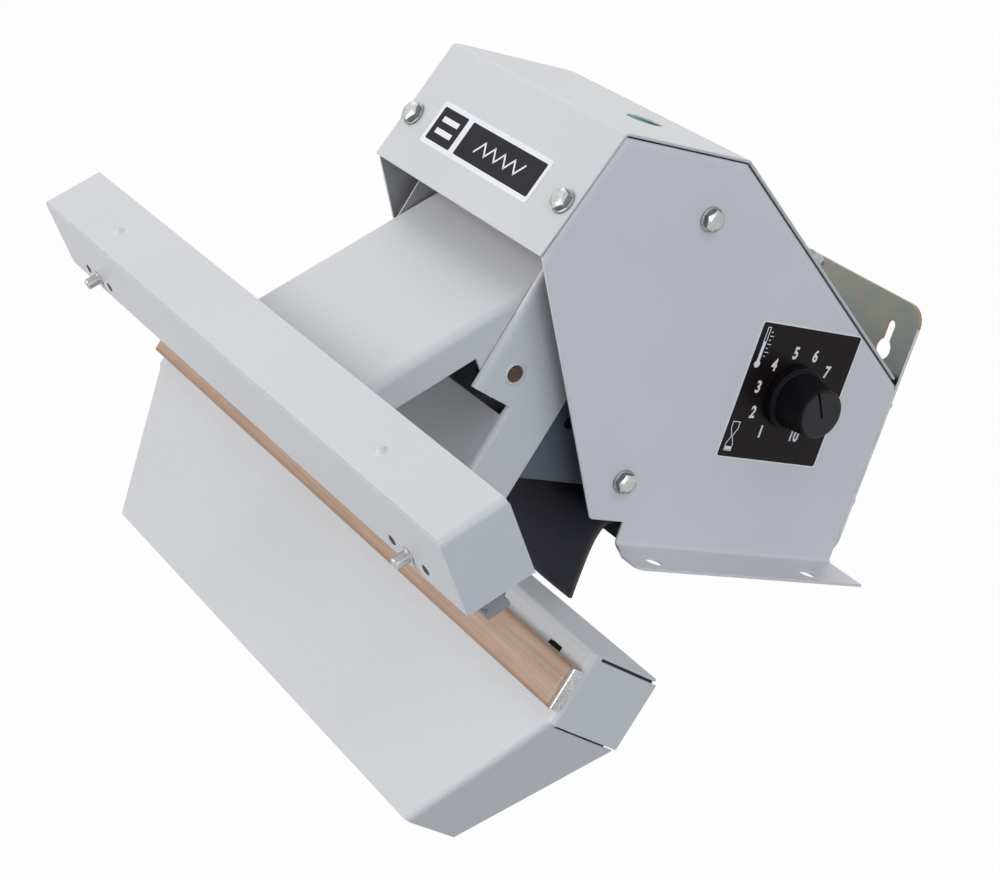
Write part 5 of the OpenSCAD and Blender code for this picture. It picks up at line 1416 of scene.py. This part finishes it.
coated_cloth = cloth_finish("tan_coated_cloth")
print("cloth finish:", coated_cloth.name, "worn", round(CLOTH_MIDDLE / MM, 1), "mm from its lower edge")

# %% [markdown]
# ## Coated cloth over the bar
# The cloth is stretched over the bar and turned down along both its edges.
# The ribbon under it lifts a band along the middle. The section is drawn in the jaw's own tilted frame,
# extruded along the bar, and its free edges wander a little, as cut by hand.

# %% Coated cloth
CLOTH_LENGTH = 424.6 * MM
CLOTH_STEPS = 150
CLOTH_T = 0.3 * MM
WANDER = 0.8 * MM
WANDER_RATE = 28.0
UPPER_DRAW = 0.3
LOWER_DRAW = 7.7
RIPPLE = 0.05 * MM
RIPPLE_RATES = (55.0, 160.0)
RIPPLE_DRAW = 3.1
CLOTH_PARTING = 10.0 * MM
TURNED_IN = -5.0 * MM
TURNED_WIDTH = 3.8 * MM
cloth_shape = bmesh.new()
extruded_row(cloth_shape, CLOTH_SECTION, -CLOTH_LENGTH / 2, CLOTH_LENGTH, CLOTH_STEPS)
flat_map = cloth_shape.loops.layers.uv.new("flat")
run_of = {}
walked = 0.0
for number, point in enumerate(CLOTH_SECTION):
    if number:
        walked += (Vector(point) - Vector(CLOTH_SECTION[number - 1])).length * MM
    run_of[(round(point[0], 2), round(point[1], 2))] = walked
for face in cloth_shape.faces:
    for loop in face.loops:
        key = (round(loop.vert.co.y / MM, 2), round(loop.vert.co.z / MM, 2))
        loop[flat_map].uv = (loop.vert.co.x, run_of[key])
for vert in cloth_shape.verts:
    edge_draw = UPPER_DRAW if vert.co.z > CLOTH_PARTING else LOWER_DRAW
    wander = noise.noise(Vector((vert.co.x * WANDER_RATE, edge_draw, 0)))
    ripple = noise.noise(Vector((vert.co.x * RIPPLE_RATES[0], vert.co.z * RIPPLE_RATES[1], RIPPLE_DRAW)))
    free_edge = max(0.0, (vert.co.y - TURNED_IN) / TURNED_WIDTH)
    vert.co.y += free_edge * wander * WANDER - RIPPLE * abs(ripple)
    vert.co.z += RIPPLE * ripple
bmesh.ops.transform(cloth_shape, matrix=jaw_place, verts=cloth_shape.verts)
cloth = place_piece(
    "coated_cloth", cloth_shape, "base", coated_cloth, stands_for=("ptfe_cover",), slot="cloth"
)
cloth_body = cloth.modifiers.new("thickness", "SOLIDIFY")
cloth_body.thickness = CLOTH_T
cloth_body.offset = 0.0

# %% [markdown]
# ## Dark strips in the slots, and corner welds
# Where the lower jaw's end caps meet its other sheets there are narrow slots, and black rubber strips behind
# them paint the shade inside the jaw.
# At the front corners a ground weld joins the sheets and fills the first millimetres of each slot.
# A strip is an oval ring, extruded along the slot. A weld is a block, rounded like the bends beside it.
# The right-hand ones are made in the jaw's frame, and mirrored.

# %% Dark strips in the slots, and corner welds
SLOT_SHADE_STRIPS = (((210.4, 4.0, 31.75), 2.8, 3.4, 37.5), ((207.4, 3.0, -3.4), 2.6, 6.4, 37.0))
TOP_WELD = (Vector((206.0, 0.05, 29.0)) * MM, Vector((213.45, 5.1, 34.95)) * MM)
LOW_WELD = (Vector((205.0, 0.08, -3.9)) * MM, Vector((213.42, 3.2, -2.3)) * MM)
TOP_WELD_R = 3.45 * MM
LOW_WELD_R = 3.0 * MM
WELD_STEPS = 6
LOW_SET_BACK = 2.1 * MM


def oval_strip(shape, start, width, height, length):
    flat = Matrix.Rotation(-math.pi / 2, 4, "X") @ Matrix.Diagonal((width * MM, height * MM, 1, 1))
    place = Matrix.Translation(Vector(start) * MM) @ flat
    ring = bmesh.ops.create_circle(shape, segments=24, radius=0.5, matrix=place)["verts"]
    edges = edges_of(ring)
    bmesh.ops.contextual_create(shape, geom=edges)
    far_ring, far_edges = grow(shape, edges)
    bmesh.ops.translate(shape, verts=far_ring, vec=(0, length * MM, 0))
    bmesh.ops.contextual_create(shape, geom=far_edges)


def weld_block(shape, low, high, radius, chosen):
    place = Matrix.Translation((low + high) / 2) @ Matrix.Diagonal((*(high - low), 1))
    block = bmesh.ops.create_cube(shape, size=1.0, matrix=place)["verts"]
    outer = [edge for edge in edges_of(block) if chosen((edge.verts[0].co + edge.verts[1].co) / 2)]
    round_off(shape, outer, radius, WELD_STEPS)


def both_ends(shape):
    everything = shape.verts[:] + shape.edges[:] + shape.faces[:]
    bmesh.ops.mirror(shape, geom=everything, axis="X", merge_dist=0.0)
    bmesh.ops.recalc_face_normals(shape, faces=shape.faces)
    bmesh.ops.transform(shape, matrix=jaw_place, verts=shape.verts)


# Black strips behind the slots: painted shade for the dark inside of the jaw.
slot_shade = bmesh.new()
for strip in SLOT_SHADE_STRIPS:
    oval_strip(slot_shade, *strip)
both_ends(slot_shade)
place_piece("slot_shade_strips", slot_shade, "base", flap_rubber, slot="flap_rubber")

welds = bmesh.new()
low, high = TOP_WELD
weld_block(
    welds, low, high, TOP_WELD_R,
    lambda middle: middle.y < low.y + WELD and (middle.x > high.x - WELD or middle.z > high.z - WELD),
)
sunk = bmesh.new()
low, high = LOW_WELD
weld_block(sunk, low, high, LOW_WELD_R, lambda middle: middle.y < low.y + WELD and middle.x > high.x - WELD)
for vert in sunk.verts:
    vert.co.x -= LOW_SET_BACK * (high.z - vert.co.z) / (high.z - low.z)
put_into(welds, sunk)
both_ends(welds)
place_piece("corner_welds", welds, "base", cover_paint, slot="cover_paint")
print("slots sealed:", 2 * len(SLOT_SHADE_STRIPS), "corners welded: 4")

# %% [markdown]
# ## Grommets, and plugs that paint shade in holes
# The ribbon's leads go through two slots in the jaw's front, each lined with a black, sunken grommet.
# Two round grommets line the cradle's wire holes, and black plugs in the spare holes beside the studs paint
# the shade inside them.
# A card with rounded corners, extruded and inset, makes the first kind, and spun profiles make the others.

# %% Grommets, and plugs that paint shade in holes
GROMMET_LOW = Vector((184.35, 22.25)) * MM
GROMMET_HIGH = Vector((193.25, 26.55)) * MM
GROMMET_CORNER = 1.9 * MM
GROMMET_BACK = 1.5 * MM
GROMMET_BODY = 1.7 * MM
GROMMET_LIP = 0.7 * MM
GROMMET_SINK = 0.6 * MM
WIRE_HOLE = Vector((61.8, -106.3, 56.3)) * MM
JAW_OPEN = math.radians(33.4)
STUD_PROUD = 8.0 * MM
STUD_HOLE_SPACING = 14.6 * MM
WIRE_GROMMET = (
    (0, 0.1), (1.3, 0.1), (1.6, 0.3), (1.9, 0.7), (2.3, 0.8), (2.7, 0.6), (2.8, 0.25), (2.8, 0.0), (0, -0.4),
)
SHADE_PLUG_PROFILE = (
    (0, 0.02), (1.5, 0.04), (2.1, 0.16), (2.4, 0.24), (2.55, 0.18), (2.6, 0.0), (1.95, -0.1), (1.8, -1.2),
    (0, -1.3),
)

leads = bmesh.new()
rounded_card(leads, GROMMET_LOW, GROMMET_HIGH, GROMMET_CORNER)
bmesh.ops.translate(leads, verts=leads.verts, vec=(0, 0, -GROMMET_BACK))
lead_front = raise_card(leads, GROMMET_BODY)
bmesh.ops.inset_region(leads, faces=lead_front, thickness=GROMMET_LIP, depth=-GROMMET_SINK)
bmesh.ops.transform(leads, matrix=Matrix.Rotation(math.pi / 2, 4, "X"), verts=leads.verts)
both_ends(leads)
place_piece("lead_grommets", leads, "base", black_plastic, slot="black_plastic")

wire_rings = bmesh.new()
for side in (-1, 1):
    place = Matrix.Translation((side * WIRE_HOLE.x, WIRE_HOLE.y, WIRE_HOLE.z)) @ facing(side * SIDEWAYS)
    put_into(wire_rings, turned(WIRE_GROMMET), place)
place_piece("wire_grommets", wire_rings, "base", black_plastic, slot="black_plastic")

opened = Matrix.Rotation(-JAW_OPEN, 3, "X")
stud_out = opened @ jaw_place.to_3x3() @ Vector((0, 0, -1))
# Black plugs in the spare stud holes: painted shade for the holes' dark inside.
shade_plugs = bmesh.new()
studs = islands("jaw_studs")
for points in studs:
    seat = seat_of(points, stud_out, STUD_PROUD)
    for side in (-1, 1):
        place = Matrix.Translation(seat + side * STUD_HOLE_SPACING * SIDEWAYS) @ facing(stud_out)
        put_into(shade_plugs, turned(SHADE_PLUG_PROFILE), place)
place_piece("hole_shade_plugs", shade_plugs, "upper_jaw_arm", black_plastic, slot="black_plastic")
print("grommets: 4, hole plugs:", 2 * len(studs))

# %% [markdown]
# ## Rivets and axle collars
# The upper jaw's holder is riveted on: low domes with a foot that runs out into the paint.
# The collars round the axle's ends have a soft, raised rim, with a dark crevice between them and the axle.
# Both are turned shapes, so a half profile and a spin make each.

# %% Rivets and axle collars
RIVET_HEAD = 0.9 * MM
RIVET = (
    (0, 2.1), (1.0, 2.0), (1.8, 1.62), (2.4, 1.0), (2.8, 0.45), (3.4, 0.1), (4.0, -0.05),
    (1.9, -0.3), (1.9, -3.0), (0, -3.0),
)
COLLAR = (
    (4.03, -3.0), (4.03, -0.3), (4.45, 0.1), (4.6, 0.55), (4.85, 0.76), (5.2, 0.8), (5.6, 0.68),
    (5.95, 0.42), (6.2, 0.12), (6.25, -0.05), (5.4, -0.1), (5.4, -3.0), (4.03, -3.0),
)
rivet_out = opened @ jaw_place.to_3x3() @ Vector((0, -1, 0))
rivets = bmesh.new()
for points in islands("jaw_rivets"):
    place = Matrix.Translation(seat_of(points, rivet_out, RIVET_HEAD)) @ facing(rivet_out)
    put_into(rivets, turned(RIVET), place)
remade("jaw_rivets", "domed_rivets", rivets)
collars = bmesh.new()
axle_low, axle_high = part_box("pivot_axle")
for side in (-1, 1):
    seat = Vector((side * ARM_OUT_X, (axle_low.y + axle_high.y) / 2, (axle_low.z + axle_high.z) / 2))
    put_into(collars, turned(COLLAR), Matrix.Translation(seat) @ facing(side * SIDEWAYS))
remade("axle_collars", "axle_collar_pair", collars)

# %% [markdown]
# ## Return spring
# The spring round the plunger opens the jaw. A round wire section, spun with a steady rise, is a helix.
# When the plunger is drawn in, the spring shortens.

# %% Return spring
WIRE_D = 1.8 * MM
TURNS = 7
TURN_STEPS = 32
spring_low, spring_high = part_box("return_spring")
spring_middle = (spring_low + spring_high) / 2
coil_r = (spring_high.x - spring_low.x - WIRE_D) / 2
rise = (spring_high.z - spring_low.z - WIRE_D) / (TURNS * TURN_STEPS)
spring = bmesh.new()
start = Vector((spring_middle.x + coil_r, spring_middle.y, spring_low.z + WIRE_D / 2))
upright = Matrix.Translation(start) @ Matrix.Rotation(math.pi / 2, 4, "X")
wire = bmesh.ops.create_circle(spring, segments=12, radius=WIRE_D / 2, matrix=upright)["verts"]
wire_edges = edges_of(wire)
bmesh.ops.spin(
    spring, geom=wire + wire_edges, cent=(spring_middle.x, spring_middle.y, 0), axis=(0, 0, 1),
    dvec=(0, 0, rise), angle=TURNS * math.tau, steps=TURNS * TURN_STEPS, use_merge=False,
)
open_edges = [edge for edge in spring.edges if edge.is_boundary]
bmesh.ops.holes_fill(spring, edges=open_edges, sides=12)
bmesh.ops.recalc_face_normals(spring, faces=spring.faces)
coil_spring = remade("return_spring", "coil_spring", spring)
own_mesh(coil_spring)
